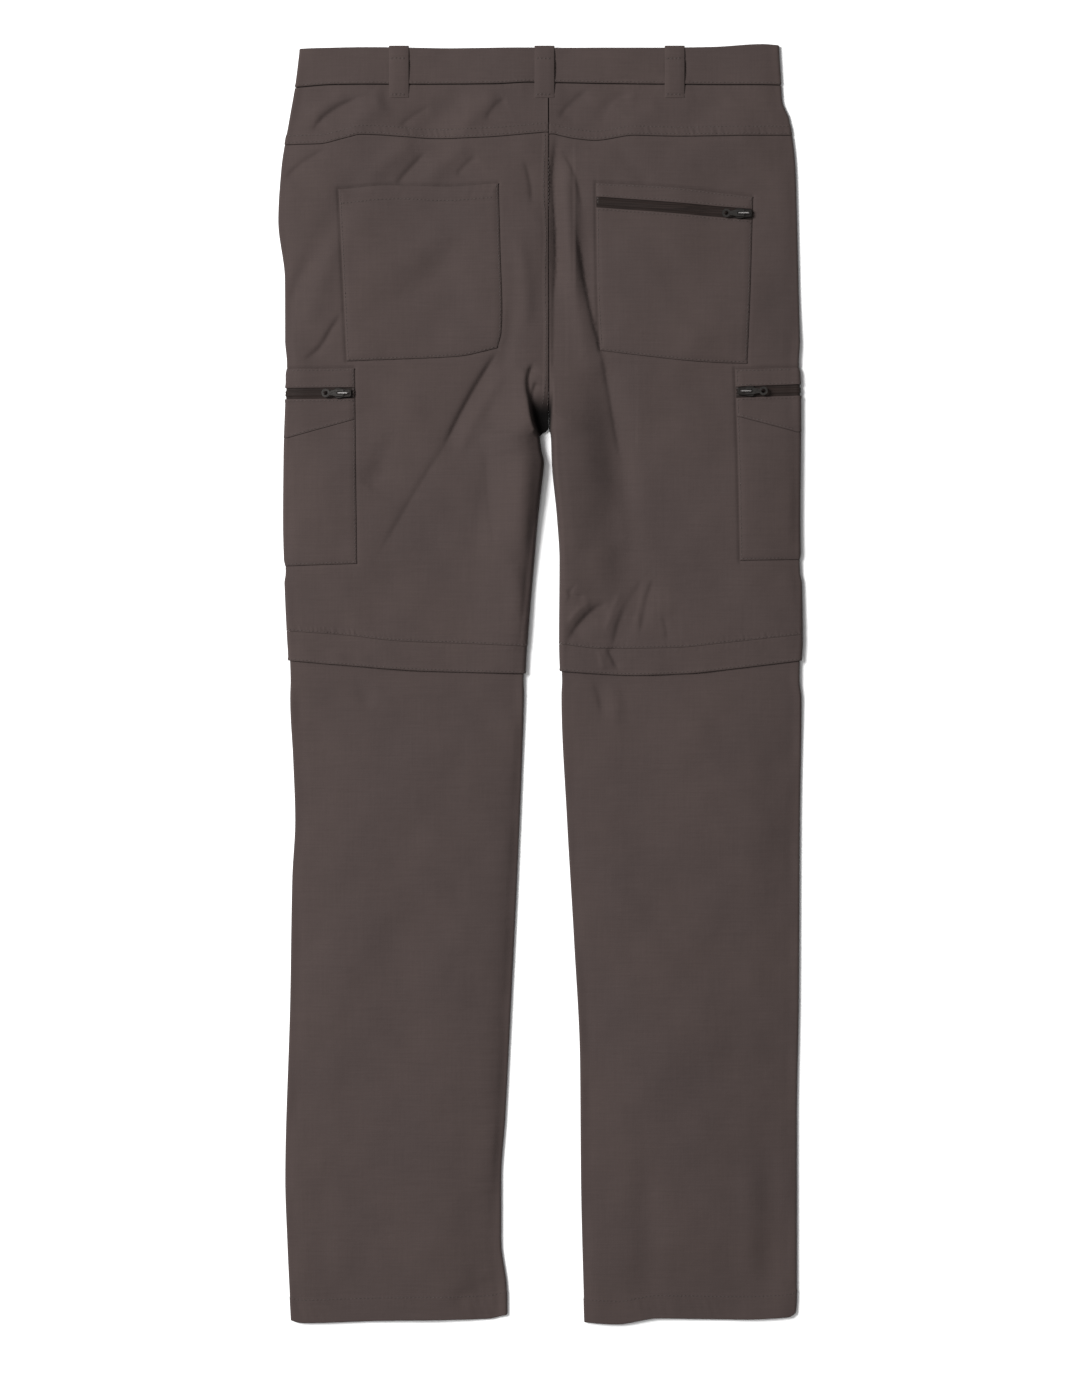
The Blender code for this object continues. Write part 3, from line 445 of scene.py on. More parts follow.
def relief(x, down, folds, room=0.0):
    """Folds and waves. room is how far the layer stands over its lowest place."""
    main, fine = folds
    total = MAIN_STRENGTH * fold_height(x, down, main) + FINE_STRENGTH * fold_height(x, down, fine)
    total += undulation(x, down)
    share = calm(x, down, CALM_FOLDS) * calm(x, down, CALM_LOOPS, LOOP_ENDS)
    return share * np.where(total > 0, limited(total, HIGHEST), limited(total, DEEPEST + room))


# Edges and tubes

Edge = namedtuple("Edge", "x fold")
Tube = namedtuple("Tube", "radius lift folds hollow loft")


def side_name(side):
    return "left" if side < 0 else "right"


def ordered(side, outer, inner):
    return (outer, inner) if side < 0 else (inner, outer)


def pocket_cover(down):
    return between(down, POCKET_RAMP_TOP, POCKET_RAMP_BOTTOM)


def level(height):
    """The same height at every place."""
    return lambda *place: np.full(np.shape(place[-1]), float(height))


def upper_side(side):
    table = SIDE_LEFT if side < 0 else SIDE_RIGHT
    return Edge(lambda down: along(table, down) - side * LAP * pocket_cover(down), level(1))


def upper_inner(side, shift=0.0):
    table = INSEAM_LEFT if side < 0 else INSEAM_RIGHT

    def x(down):
        share = smooth(down, INSEAMS_PART_DOWN, CROTCH_DOWN)
        flat = CENTRE_SEAM_X + side * CENTRE_GAP / 2 + shift * (1 - smooth(down, *FRONT_SEAM_JOINS))
        return (1 - share) * flat + share * along(table, down)

    return Edge(x, lambda down: smooth(down, *CROTCH_TURN))


def upper_edges(side, shift=0.0):
    return ordered(side, upper_side(side), upper_inner(side, shift))


def centre_edge(side):
    return Edge(level(CENTRE_SEAM_X + FRONT_SEAM_SHIFT + side * SEAM_GAP / 2), level(0))


def lower_edges(side):
    left, right = (LOWER_SIDE_LEFT, LOWER_INSEAM_LEFT), (LOWER_SIDE_RIGHT, LOWER_INSEAM_RIGHT)
    outer, inner = left if side < 0 else right

    def eased(flap, table, inwards):
        def x(down):
            share = smooth(down, *FLAP_CLEAR)
            return (1 - share) * (flap.x(down) + inwards * UNDER_FLAP) + share * along(table, down)

        return Edge(x, level(1))

    return eased(upper_side(side), outer, -side), eased(upper_inner(side), inner, side)


def upper_radius(down):
    return LEG_RADIUS + (FLAP_RADIUS - LEG_RADIUS) * smooth(down, *FLAP_SWELL)


def side_inset(x, down):
    return np.minimum(x - along(SIDE_LEFT, down), along(SIDE_RIGHT, down) - x)


def upper_lift(x, down):
    return LAP * pocket_cover(down) * (1 - smooth(side_inset(x, down), *POCKET_RAMP_INSET))


def lower_lift(_x, down):
    return LAP * (1 - smooth(down, *LOWER_RAMP))


UPPER = Tube(
    upper_radius, upper_lift, (MAIN_FOLDS, FINE_FOLDS), True, lambda down: between(down, *UPPER_LOFT)
)
LOWER = Tube(
    level(LOWER_RADIUS), lower_lift, (MAIN_LOWER_FOLDS, FINE_LOWER_FOLDS), False,
    lambda down: between(down, *LOWER_LOFT),
)
BAND = Tube(level(BAND_RADIUS), level(0), ((), ()), False, level(0))


def in_hollow(x, down, left_bank, top):
    """1 in the hollow over the crotch and 0 outside it. left_bank is the width of its slope on the left."""
    left, right = along(HOLLOW_LEFT, down), along(HOLLOW_RIGHT, down)
    across = between(x, (left - LEFT_START, left + left_bank), (right - RIGHT_START, right + RIGHT_END))
    return across * smooth(down, *top) * (1 - smooth(down, *HOLLOW_END))


def back_height(tube, edges, x, down, height, covering=False):
    """z of the back layer's outer face, from the height that the tube's section gives it there. covering is
    for what lies on that layer."""
    radius = tube.radius(down)
    inset = np.full(x.shape, LENGTH)
    for edge in edges:
        inset = np.minimum(inset, np.abs(x - edge.x(down)) / np.maximum(edge.fold(down), 1e-3))
    roll = height / radius * ROLL * (1 - smooth(inset, 0, ROLL_WIDTH))
    stands = LOFT * tube.loft(down) * smooth(inset, *LOFT_INSET) * calm(x, down, CALM_LOFT)
    if tube.hollow:
        stands += eased_lift(x, down) + height / radius * puff(x, down, edges)
    folds = relief(x, down, tube.folds, stands)
    if tube is LOWER:
        stands += height / radius * (LAP * (1 - smooth(down, *LOWER_EASE)) - lower_lift(x, down))
        over = relief(x, down, UPPER.folds)
        share = smooth(down, *FLAP_CLEAR)
        folds = share * folds + (1 - share) * np.minimum(over, 0.0)
    z = tube.lift(x, down) + radius + height - roll + stands + smooth(inset, *FOLD_MARGIN) * folds
    if tube.hollow:
        if not covering:
            z += outline_groove(x, down)
        share = in_hollow(x, down, HOLLOW_BANK, HOLLOW_TOP)
        z = np.where(z > HOLLOW_FLOOR, z + (HOLLOW_FLOOR - z) * share, z)
    return z


def eased_lift(x, down):
    """What the back layer's own soft rise onto the side pockets adds to the solids' ramp."""
    cover = between(down, EASE_TOP, EASE_BOTTOM)
    soft = LAP * cover * (1 - smooth(side_inset(x, down), *EASE_INSET))
    return np.maximum(soft - upper_lift(x, down), 0.0)


def puff(x, down, edges):
    """How far the inner side of each thigh stands up."""
    inner = np.full(x.shape, CENTRE_SEAM_X)
    for edge in edges:
        fold = edge.fold(down)
        near = np.abs(edge.x(down) - CENTRE_SEAM_X) < INNER_REACH
        inner = np.where(near & (fold > 0.001), fold * edge.x(down) + (1 - fold) * inner, inner)
    off = np.abs(x - inner)
    turn = np.where(x < inner, *PUFF_TURNS)
    rise = 1 - (1 - np.minimum(off / turn, 1.0)) ** 2
    return along(PUFF, down) * (PUFF_EDGE + (1 - PUFF_EDGE) * rise) * (1 - smooth(off, turn + 2, PUFF_REACH))


def fold_inset(radius, angle):
    past = np.maximum(0.0, angle - UPRIGHT) * 90 / (90 - UPRIGHT)
    return radius * (1 - np.cos(np.radians(past)))


def columns(flat_count, arc):
    """Each column's end (-1 left, 0 between, 1 right), its angle round the fold and its share of the flat."""
    shares = np.linspace(0, 1, flat_count + 2)[1:-1]
    blank, flat = np.zeros(len(arc)), np.zeros(len(shares))
    parts = (blank - 1, flat, blank + 1), (arc, flat + 90, arc[::-1]), (blank, shares, blank)
    return [np.concatenate(part)[None, :] for part in parts]


def edged(low, high, step):
    """Places from low to high: close together beside the ends and step apart between."""
    lines = EDGE_LINES[EDGE_LINES < (high - low) * EDGE_ROOM]
    count = max(2, int(round((high - low - 2 * lines[-1]) / step)) + 1)
    middle = np.linspace(low + lines[-1], high - lines[-1], count)
    return np.concatenate((low + lines[:-1], middle, high - lines[:-1][::-1]))


def tube_grid(tube, edges, top, bottom, step, arc=ARC, front=False):
    """Points (x, down, z) of a panel between two seams, in rows."""
    (top_at, top_mean), (bottom_at, bottom_mean) = top, bottom
    blend = min(SEAM_BLEND, bottom_mean - top_mean)
    straight = edged(top_mean, bottom_mean, step)[:, None]
    middle_down = (top_mean + bottom_mean) / 2
    width = float(edges[1].x(middle_down) - edges[0].x(middle_down))
    end, angle, share = columns(int(width / step), arc)
    near_top = np.maximum(0.0, 1 - (straight - top_mean) / blend)
    near_bottom = np.maximum(0.0, 1 - (bottom_mean - straight) / blend)
    down = straight + np.zeros(end.shape)
    for _ in range(SEAM_PASSES):
        radius = tube.radius(down)
        xs = [edge.x(down) for edge in edges]
        folds = [edge.fold(down) for edge in edges]
        starts = [fold * radius + (1 - fold) * FLAT_TURN for fold in folds]
        fold = np.where(end < 0, folds[0], folds[1])
        bend = 90 - fold * (90 - angle)
        inset = fold * fold_inset(radius, bend) + (1 - fold) * FLAT_TURN * angle / 90
        middle = xs[0] + starts[0] + share * (xs[1] - xs[0] - starts[0] - starts[1])
        x = np.where(end < 0, xs[0] + inset, np.where(end > 0, xs[1] - inset, middle))
        down = straight + near_top * (top_at(x) - top_mean) + near_bottom * (bottom_at(x) - bottom_mean)
    spread = TURN_SPREAD * 4 * fold * (1 - fold)
    arc_height = np.maximum(radius * np.sin(np.radians(bend)), HALF_GAP) + spread
    height = np.where(end == 0, radius, np.minimum(radius, arc_height))
    if front:
        z = tube.lift(x, down) + radius - height
    else:
        z = back_height(tube, edges, x, down, height)
    return np.stack((x, down, z), axis=-1)


# Pieces

Piece = namedtuple("Piece", "points normals")
EDGES = ("top", "bottom", "left", "right")
PRESSED_EDGES = {
    "pocket_right_top": ("top", "left", "right"),
    "pocket_right_panel": ("bottom", "left", "right"),
    "cargo_left_top": ("top", "left"),
    "cargo_left_band": ("left",),
    "cargo_left_panel": ("bottom", "left"),
    "cargo_right_top": ("top", "left"),
    "cargo_right_band": ("left",),
    "cargo_right_panel": ("bottom", "left"),
}
JOINED_RIM = 0.12
WAIST_RIM = 0.85
TURN_SHARE = 0.12  # the most that an edge is turned in, as a share of its piece's narrow side
ALLOWANCE_END = (-0.9, 0.7)  # an allowance's step down, from its width
GATHER_RISE = (0.3, 1.6)
PRESSED_REACH = 4.5
RIM_SHARE = 0.24  # of a rim's depth, at the second line from the edge
PIECES = {}


def world(points):
    """Millimetres of x, down and z to millimetres in the part's frame."""
    return np.stack((points[..., 0] - BOX_MIDDLE_X, LENGTH / 2 - points[..., 1], points[..., 2]), axis=-1)


def local(points):
    """The same the other way round."""
    return np.stack((points[..., 0] + BOX_MIDDLE_X, LENGTH / 2 - points[..., 1], points[..., 2]), axis=-1)


def unit(vectors):
    return vectors / np.maximum(np.linalg.norm(vectors, axis=-1, keepdims=True), 1e-9)


def normals_of(points, outward):
    normals = unit(np.cross(np.gradient(points, axis=0), np.gradient(points, axis=1)))
    middle = normals[points.shape[0] // 2, points.shape[1] // 2]
    sign = 1.0 if np.dot(middle, outward) > 0 else -1.0
    return normals * sign, sign


def reach_from(points, edge):
    """How far each point lies from one edge of the grid, along the cloth."""
    axis = 0 if edge in ("top", "bottom") else 1
    steps = np.linalg.norm(np.diff(points, axis=axis), axis=-1)
    total = np.concatenate((np.zeros_like(steps.take([0], axis=axis)), np.cumsum(steps, axis=axis)), axis=axis)
    if edge in ("bottom", "right"):
        total = total.take([-1], axis=axis) - total
    return total


def pucker(place, period):
    """Uneven gathers along a row of stitches."""
    sway = 2.6 * np.sin(2 * math.pi * place / (5.3 * period)) + 1.7 * np.sin(place / (1.9 * period) + 0.7)
    strength = 0.5 + 0.5 * np.sin(place / (1.7 * period) + 1.3) * np.sin(place / (4.1 * period))
    other = 0.45 * np.sin(2 * math.pi * place / (1.62 * period) + 2.0)
    return strength * (np.sin(2 * math.pi * place / period + sway) + other)


def stronger(least, *places):
    """A gather's amplitude along x: least, and more at places, which are (x, half width, amplitude)."""
    return lambda x: least + sum(more * np.exp(-(((x - at) / half) ** 4)) for at, half, more in places)


def placed(name, data):
    made = bpy.data.objects.new(name, data)
    bpy.context.scene.collection.objects.link(made)
    return made


def mesh_object(name, vertices, faces, material):
    data = bpy.data.meshes.new(name)
    data.from_pydata((np.asarray(vertices) / 1000).tolist(), [], np.asarray(faces).tolist())
    data.validate()
    data.shade_smooth()
    data.materials.append(material)
    return placed(name, data)


def grid_faces(rows, cols, flip):
    index = np.arange(rows * cols).reshape(rows, cols)
    corners = [index[:-1, :-1], index[1:, :-1], index[1:, 1:], index[:-1, 1:]]
    faces = np.stack(corners, axis=-1).reshape(-1, 4)
    return faces[:, ::-1] if flip else faces


def carried(made):
    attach(made, BODY)


def seam_relief(points, allowances, offset, gathers, pressed, pressed_edges):
    """How far a piece's face stands over its grid."""
    raised = np.zeros(points.shape[:2])
    for edge, height, width in allowances:
        past = smooth(reach_from(points, edge) - width, *ALLOWANCE_END)
        raised = np.maximum(raised, height * (1 - past))
    raised += offset
    for edge, amplitude, reach, period in gathers:
        away = reach_from(points, edge)
        place = points[..., 0 if edge in ("top", "bottom") else 1]
        if callable(amplitude):
            amplitude = amplitude(place)
        window = between(away, GATHER_RISE, (0.5 * reach, reach))
        raised += amplitude * window * pucker(place + 0.35 * away, period)
    if pressed:
        away = np.min([reach_from(points, edge) for edge in pressed_edges], axis=0)
        raised -= pressed * (1 - smooth(away, 0.0, PRESSED_REACH))
    return raised


def wrapped(face, normals, wall, turns_in, rims):
    """The face's grid, carried on round its edges and in again under it at wall's depth."""
    orders, depths = [], []
    for axis, turn_in in enumerate(turns_in):
        steps = np.linalg.norm(np.diff(face, axis=axis), axis=-1)
        middle = steps.take(steps.shape[1 - axis] // 2, axis=1 - axis)
        count = face.shape[axis]
        back = min(max(1, int(np.searchsorted(np.cumsum(middle), turn_in))), (count - 1) // 2)
        orders.append([back, 0, *range(count), count - 1, count - 1 - back])
        first, last = rims[2 * axis:2 * axis + 2]
        rounded = [RIM_SHARE * first, *[0.0] * (count - 4), RIM_SHARE * last]
        depths.append([wall, wall, first, *rounded, last, wall, wall])
    source = np.ix_(*orders)
    return face[source] - normals[source] * np.maximum.outer(*depths)[..., None]


def cloth_piece(
    node, points, outward, wall=WALL, slot="cloth", offset=0.0, allowances=(), gathers=(), turn_in=8.0,
    held="laid", rests_on=(), rim=0.42, hollow=False, pressed=0.0, rims=(),
):
    """A sewn piece over a grid of points (x, down, z). allowances are (edge, height, width), gathers are
    (edge, amplitude, reach, period), and pressed is how far its outline is sewn down. Its edges are rounded
    and turned in by rim, and by rims for the edges that it names."""
    points = world(points)
    normals, sign = normals_of(points, outward)
    pressed_edges = PRESSED_EDGES.get(node, EDGES)
    raised = seam_relief(points, allowances, offset, gathers, pressed, pressed_edges)
    face = points + normals * raised[..., None]
    face[..., 2] = np.maximum(face[..., 2], 0.0)
    normals, _ = normals_of(face, outward)
    across, length = (np.linalg.norm(np.diff(face, axis=i), axis=-1).sum(axis=i).max() for i in (1, 0))
    turn_in = min(turn_in, TURN_SHARE * min(across, length))
    turns_in = (turn_in, 0.0 if hollow else turn_in)
    vertices = wrapped(face, normals, wall, turns_in, [dict(rims).get(edge, rim) for edge in EDGES])
    material = TAPE if slot == "zip_tape" else CLOTH_WITH_PAINTED_SHADE if hollow else CLOTH
    faces = grid_faces(*vertices.shape[:2], sign < 0)
    made = mesh_object(node + "_sewn", vertices.reshape(-1, 3), faces, material)
    carried(made)
    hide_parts(node)
    # painted shade: a point attribute that darkens the cloth's colour in the hollow over the crotch
    if hollow:
        x, down, _ = np.moveaxis(local(vertices), -1, 0)
        shade = made.data.attributes.new("painted_hollow_shade", "FLOAT", "POINT")
        depth = in_hollow(x, down, SHADE_BANK, SHADE_TOP)
        shade.data.foreach_set("value", depth.ravel().astype(np.float32))
    PIECES[node] = Piece(face, normals)


# Materials

class Finish:
    """A Principled material, with short ways to add the nodes that drive it."""

    def __init__(self, name):
        self.made = bpy.data.materials.new(name)
        self.made.use_nodes = True
        self.tree = self.made.node_tree

    def feed(self, node, inputs):
        """Sets each input to its value, or links it to its socket."""
        for key, value in inputs.items():
            if isinstance(value, bpy.types.NodeSocket):
                self.tree.links.new(value, node.inputs[key])
            else:
                node.inputs[key].default_value = value

    def add(self, kind, inputs, output=0, **settings):
        node = self.tree.nodes.new("ShaderNode" + kind)
        for key, value in settings.items():
            setattr(node, key, value)
        self.feed(node, inputs)
        return node.outputs[output]

    def maths(self, operation, first, second):
        return self.add("Math", {0: first, 1: second}, operation=operation)

    def total(self, first, *others):
        for other in others:
            first = self.maths("ADD", first, other)
        return first

    def place(self):
        """The object's own coordinates, in metres."""
        return self.add("TexCoord", {}, "Object")

    def stretched(self, scale, turn=0.0):
        return self.add("Mapping", {"Vector": self.place(), "Scale": scale, "Rotation": (0, 0, turn)})

    def noise(self, scale, detail, roughness, stretch=(1, 1, 1), turn=0.0):
        inputs = {"Scale": scale, "Detail": detail, "Roughness": roughness}
        return self.add("TexNoise", {"Vector": self.stretched(stretch, turn), **inputs})

    def wave(self, direction, stretch, scale, distortion):
        inputs = {"Vector": self.stretched(stretch), "Scale": scale, "Distortion": distortion, "Detail": 1.0}
        return self.add("TexWave", inputs, 1, wave_type="BANDS", bands_direction=direction)

    def ranged(self, value, low, high, to_low, to_high):
        return self.add("MapRange", {"Value": value, 1: low, 2: high, 3: to_low, 4: to_high})

    def spread(self, value, low, high, most):
        """The value from low to high as a change by up to most, down or up."""
        return self.ranged(value, low, high, -most, most)

    def mixed(self, share, first, second):
        return self.add("Mix", {0: share, 6: (*first, 1), 7: (*second, 1)}, 2, data_type="RGBA")

    def scaled(self, colour, by):
        return self.add("VectorMath", {0: colour, "Scale": by}, operation="SCALE")

    def bump(self, height, strength, distance, **more):
        return self.add("Bump", {"Height": height, "Strength": strength, "Distance": distance, **more})

    def driven(self, inputs):
        self.feed(self.tree.nodes["Principled BSDF"], inputs)
        return self.made


THREAD_PITCH = 0.00052
# painted shade: the share of the cloth's colour that is left at the bottom of the hollow over the crotch
HOLLOW_PAINTED_SHADE = 0.03  # of the cloth's colour that is left at the bottom of the hollow


def cloth_material(name, colour, hollow=False):
    """Fine plain-weave nylon: warp and weft threads, uneven yarns along the weft, a slight melange. With
    hollow, the colour gets painted shade, darkest at the bottom of the hollow over the crotch."""
    cloth = Finish(name)
    turns = 2 * math.pi / THREAD_PITCH / 20
    crossing = cloth.maths(
        "MULTIPLY", cloth.wave("X", (turns, 0, 0), 1.0, 0.5), cloth.wave("Y", (0, turns, 0), 1.0, 0.5)
    )
    slubs = cloth.noise(1.0, 3.0, 0.55, (34, 1250, 34))
    warps = cloth.noise(1.0, 2.0, 0.5, (1150, 26, 26))
    grain = cloth.noise(1500.0, 2.0, 0.6)
    broad = cloth.noise(11.0, 3.0, 0.55)
    value = cloth.total(
        cloth.spread(slubs, 0.3, 0.7, 0.048), cloth.spread(warps, 0.3, 0.7, 0.0288),
        cloth.spread(grain, 0.25, 0.75, 0.07), cloth.spread(broad, 0.3, 0.7, 0.035),
        cloth.spread(crossing, 0.0, 1.0, 0.05), 1.0,
    )
    if hollow:
        # painted shade: the colour is darkened where the point attribute marks the hollow over the crotch
        painted_hollow_shade = cloth.add("Attribute", {}, "Fac", attribute_name="painted_hollow_shade")
        value = cloth.maths("MULTIPLY", value, cloth.ranged(painted_hollow_shade, 0.0, 1.0, 1.0, HOLLOW_PAINTED_SHADE))
    warmer = (colour[0] * 1.01, colour[1], colour[2] * 0.985)
    tint = cloth.mixed(cloth.ranged(broad, 0.35, 0.65, 0.0, 1.0), colour, warmer)
    height = cloth.total(cloth.maths("MULTIPLY", crossing, 0.5), cloth.maths("MULTIPLY", slubs, 0.5))
    weave = cloth.bump(height, 0.22, 0.0002)
    cockle = cloth.noise(62.0, 3.0, 0.5, (1, 1.35, 1), 0.5)
    return cloth.driven({
        "Base Color": cloth.scaled(tint, value), "Roughness": cloth.ranged(grain, 0.2, 0.8, 0.76, 0.88),
        "Specular IOR Level": 0.08, "Sheen Weight": 0.03, "Sheen Roughness": 0.5,
        "Sheen Tint": (0.9, 0.82, 0.78, 1), "Normal": cloth.bump(cockle, 0.42, 0.0012, Normal=weave),
    })


def tape_material(name, colour):
    """Woven zip tape: fine ribs across and a few paler threads along it."""
    tape = Finish(name)
    threads = tape.noise(1.0, 2.0, 0.6, (18, 1100, 900))
    grain = tape.noise(2100.0, 2.0, 0.6)
    value = tape.total(tape.ranged(threads, 0.25, 0.75, 0.5, 1.5), tape.spread(grain, 0.25, 0.75, 0.12))
    return tape.driven({
        "Base Color": tape.scaled(colour, value), "Roughness": tape.ranged(grain, 0.2, 0.8, 0.6, 0.75),
        "Specular IOR Level": 0.12, "Sheen Weight": 0.04, "Normal": tape.bump(threads, 0.35, 0.0003),
    })


def thread_material(name, colour):
    """Twisted sewing thread with a slight gloss."""
    thread = Finish(name)
    twist = thread.wave("DIAGONAL", (1, 1, 1), 900.0, 1.0)
    dark, pale = ([part * by for part in colour] for by in (0.7, 1.15))
    return thread.driven({
        "Base Color": thread.mixed(twist, dark, pale), "Roughness": thread.ranged(twist, 0, 1, 0.5, 0.62),
        "Normal": thread.bump(twist, 0.4, 0.0002),
    })


def metal_material(name, dark, wear_and_highlight_colour, wear_and_highlight_above):
    """Gunmetal that is brighter on what stands higher than the given height, in metres over the floor: wear
    there, with a painted highlight on the slider's top.
    """
    metal = Finish(name)
    height = metal.add("SeparateXYZ", {0: metal.place()}, 2)
    scuffs = metal.noise(900.0, 3.0, 0.6)
    # painted highlight: above this height the metal is drawn bright, for wear and for the glint on the
    # slider's top
    wear_and_highlight = metal.ranged(height, wear_and_highlight_above - 0.0002, wear_and_highlight_above + 0.0002, 0.0, 1.0)
    wear_and_highlight = metal.maths("MULTIPLY", wear_and_highlight, metal.ranged(scuffs, 0.25, 0.6, 0.75, 1.0))
    shade = metal.ranged(scuffs, 0.2, 0.8, 0.78, 1.2)
    return metal.driven({
        "Base Color": metal.scaled(metal.mixed(wear_and_highlight, dark, wear_and_highlight_colour), shade), "Metallic": 0.9,
        "Roughness": metal.ranged(scuffs, 0.2, 0.8, 0.26, 0.42), "Normal": metal.bump(scuffs, 0.12, 0.0002),
    })


# Camera, floor and light

CAMERA_DISTANCE = 3.0
SENSOR = 36.0
FRAME_HEIGHT = 1.1644
FRAME_CENTRE = (-0.0004, -0.004)
SURFACE = 0.005  # the height at which the frame's size holds
FLOOR_HALF, FLOOR_DROP = 4000.0, -0.05
WORLD_STRENGTH = 0.26


def camera():
    data = bpy.data.cameras.new("camera")
    data.sensor_width = SENSOR
    data.lens = SENSOR * CAMERA_DISTANCE / FRAME_HEIGHT
    data.clip_start, data.clip_end = 0.05, 20.0
    bpy.context.scene.camera = placed("camera", data)
    bpy.context.scene.camera.location = (*FRAME_CENTRE, CAMERA_DISTANCE + SURFACE)


def floor():
    white = Finish("floor_white").driven({
        "Base Color": (0.88, 0.88, 0.88, 1), "Roughness": 0.9, "Specular IOR Level": 0.1,
    })
    corners = [(x * FLOOR_HALF, y * FLOOR_HALF, FLOOR_DROP) for x, y in ((-1, -1), (1, -1), (1, 1), (-1, 1))]
    mesh_object("floor", corners, [(0, 1, 2, 3)], white)


def light(name, place, size, power):
    """A round lamp that shines on the middle of the floor. Size and place are in metres."""
    data = bpy.data.lights.new(name, "AREA")
    data.shape = "DISK"
    data.size = size
    data.energy = power
    made = placed(name, data)
    made.location = place
    x, y, z = place
    made.rotation_euler = (math.atan2(math.hypot(x, y), z), 0, math.atan2(-y, -x) - math.pi / 2)


def lighting():
    studio = bpy.data.worlds.new("studio")
    studio.use_nodes = True
    background = studio.node_tree.nodes["Background"]
    background.inputs[0].default_value = (1.0, 1.0, 1.0, 1.0)
    background.inputs[1].default_value = WORLD_STRENGTH
    bpy.context.scene.world = studio
    light("key", (-2.85, 1.35, 3.6), 2.1, 384.0)
    light("low_fill", (-0.9, -1.3, 3.0), 1.6, 24.0)


camera()
floor()
lighting()
bpy.context.scene.view_settings.view_transform = "Standard"

CLOTH_COLOUR = (0.0474, 0.0353, 0.0332)
CLOTH = cloth_material("woven_nylon", CLOTH_COLOUR)
# the cloth with painted shade in the hollow over the crotch, for the backs and fronts
CLOTH_WITH_PAINTED_SHADE = cloth_material("woven_nylon_painted_crotch_shade", CLOTH_COLOUR, hollow=True)
THREAD = thread_material("sewing_thread", (0.045, 0.032, 0.029))
TAPE = tape_material("zip_tape_weave", (0.0128, 0.0081, 0.0068))

UP, UNDER = np.array((0.0, 0.0, 1.0)), np.array((0.0, 0.0, -1.0))


# Waistband, yokes, backs, fronts, flaps and lower legs

YOKE_GATHER = stronger(0.16, (-82, 46, 0.32), (120, 62, 0.2))
BACK_GATHER = stronger(0.2, (-174, 30, 0.75), (186, 14, 0.75))
LEG_ZIP = (3.0, 15.0)  # where its tape begins and ends below the flap's seam
LEG_ZIP_STEP = 4.0


def waistband():
    edges = (upper_side(-1), upper_side(1))
    top, bottom = seam(WAIST_TOP), seam(WAIST_SEAM, -WAIST_GAP / 2)
    cloth_piece(
        "waistband_back", tube_grid(BAND, edges, top, bottom, FINE_STEP), UP, BAND_WALL,
        allowances=(("bottom", 0.25, 2.6), ("top", 0.15, 2.4)),
        gathers=(("bottom", 0.12, 5.0, 5.2), ("top", 0.14, 9.0, 23.0)), turn_in=14.0,
        rims=(("bottom", WAIST_RIM),), rests_on=["waistband_front_left", "waistband_front_right"],
    )
    for side in SIDES:
        edges = ordered(side, upper_side(side), centre_edge(side))
        grid = tube_grid(BAND, edges, top, seam(WAIST_SEAM, -HALF_GAP), COARSE_STEP, COARSE_ARC, True)
        cloth_piece(
            "waistband_front_" + side_name(side), grid, UNDER, BAND_WALL, turn_in=14.0, rests_on=["floor"],
        )


def upper_panels():
    for side in SIDES:
        name, inner = side_name(side), side_name(-side)
        edges = upper_edges(side)
        top, bottom = seam(WAIST_SEAM, WAIST_GAP / 2), seam(YOKE_SEAM[side], -HALF_GAP)
        cloth_piece(
            "yoke_" + name, tube_grid(UPPER, edges, top, bottom, FINE_STEP), UP,
            rests_on=["front_" + name], rims=(("top", WAIST_RIM),),
            allowances=(("bottom", 0.45, 8.4), (inner, 0.15, 3.0)),
            gathers=(("bottom", YOKE_GATHER, 9.5, 3.8), ("top", 0.14, 5.0, 5.2)),
        )
        top, bottom = seam(YOKE_SEAM[side], HALF_GAP), seam(FLAP_SEAM[side], -FLAP_GAP / 2)
        lapped = side < 0  # the centre seam's allowance lies under the left back
        cloth_piece(
            "back_" + name, tube_grid(UPPER, edges, top, bottom, FINE_STEP), UP,
            rests_on=["front_" + name], rims=(("bottom", JOINED_RIM), (inner, JOINED_RIM)), hollow=True,
            allowances=((inner, 0.4, 7.4),) * lapped,
            gathers=(
                ("top", 0.12, 4.0, 4.4), ("bottom", BACK_GATHER, 6.5, 3.1),
                *((inner, 0.12, 8.5, 4.6),) * lapped,
            ),
        )
        top, bottom = seam(WAIST_SEAM, HALF_GAP), seam(FLAP_SEAM[side], -HALF_GAP)
        edges = upper_edges(side, FRONT_SEAM_SHIFT)
        front = tube_grid(UPPER, edges, top, bottom, COARSE_STEP, COARSE_ARC, True)
        cloth_piece("front_" + name, front, UNDER, rests_on=["floor"], hollow=True)


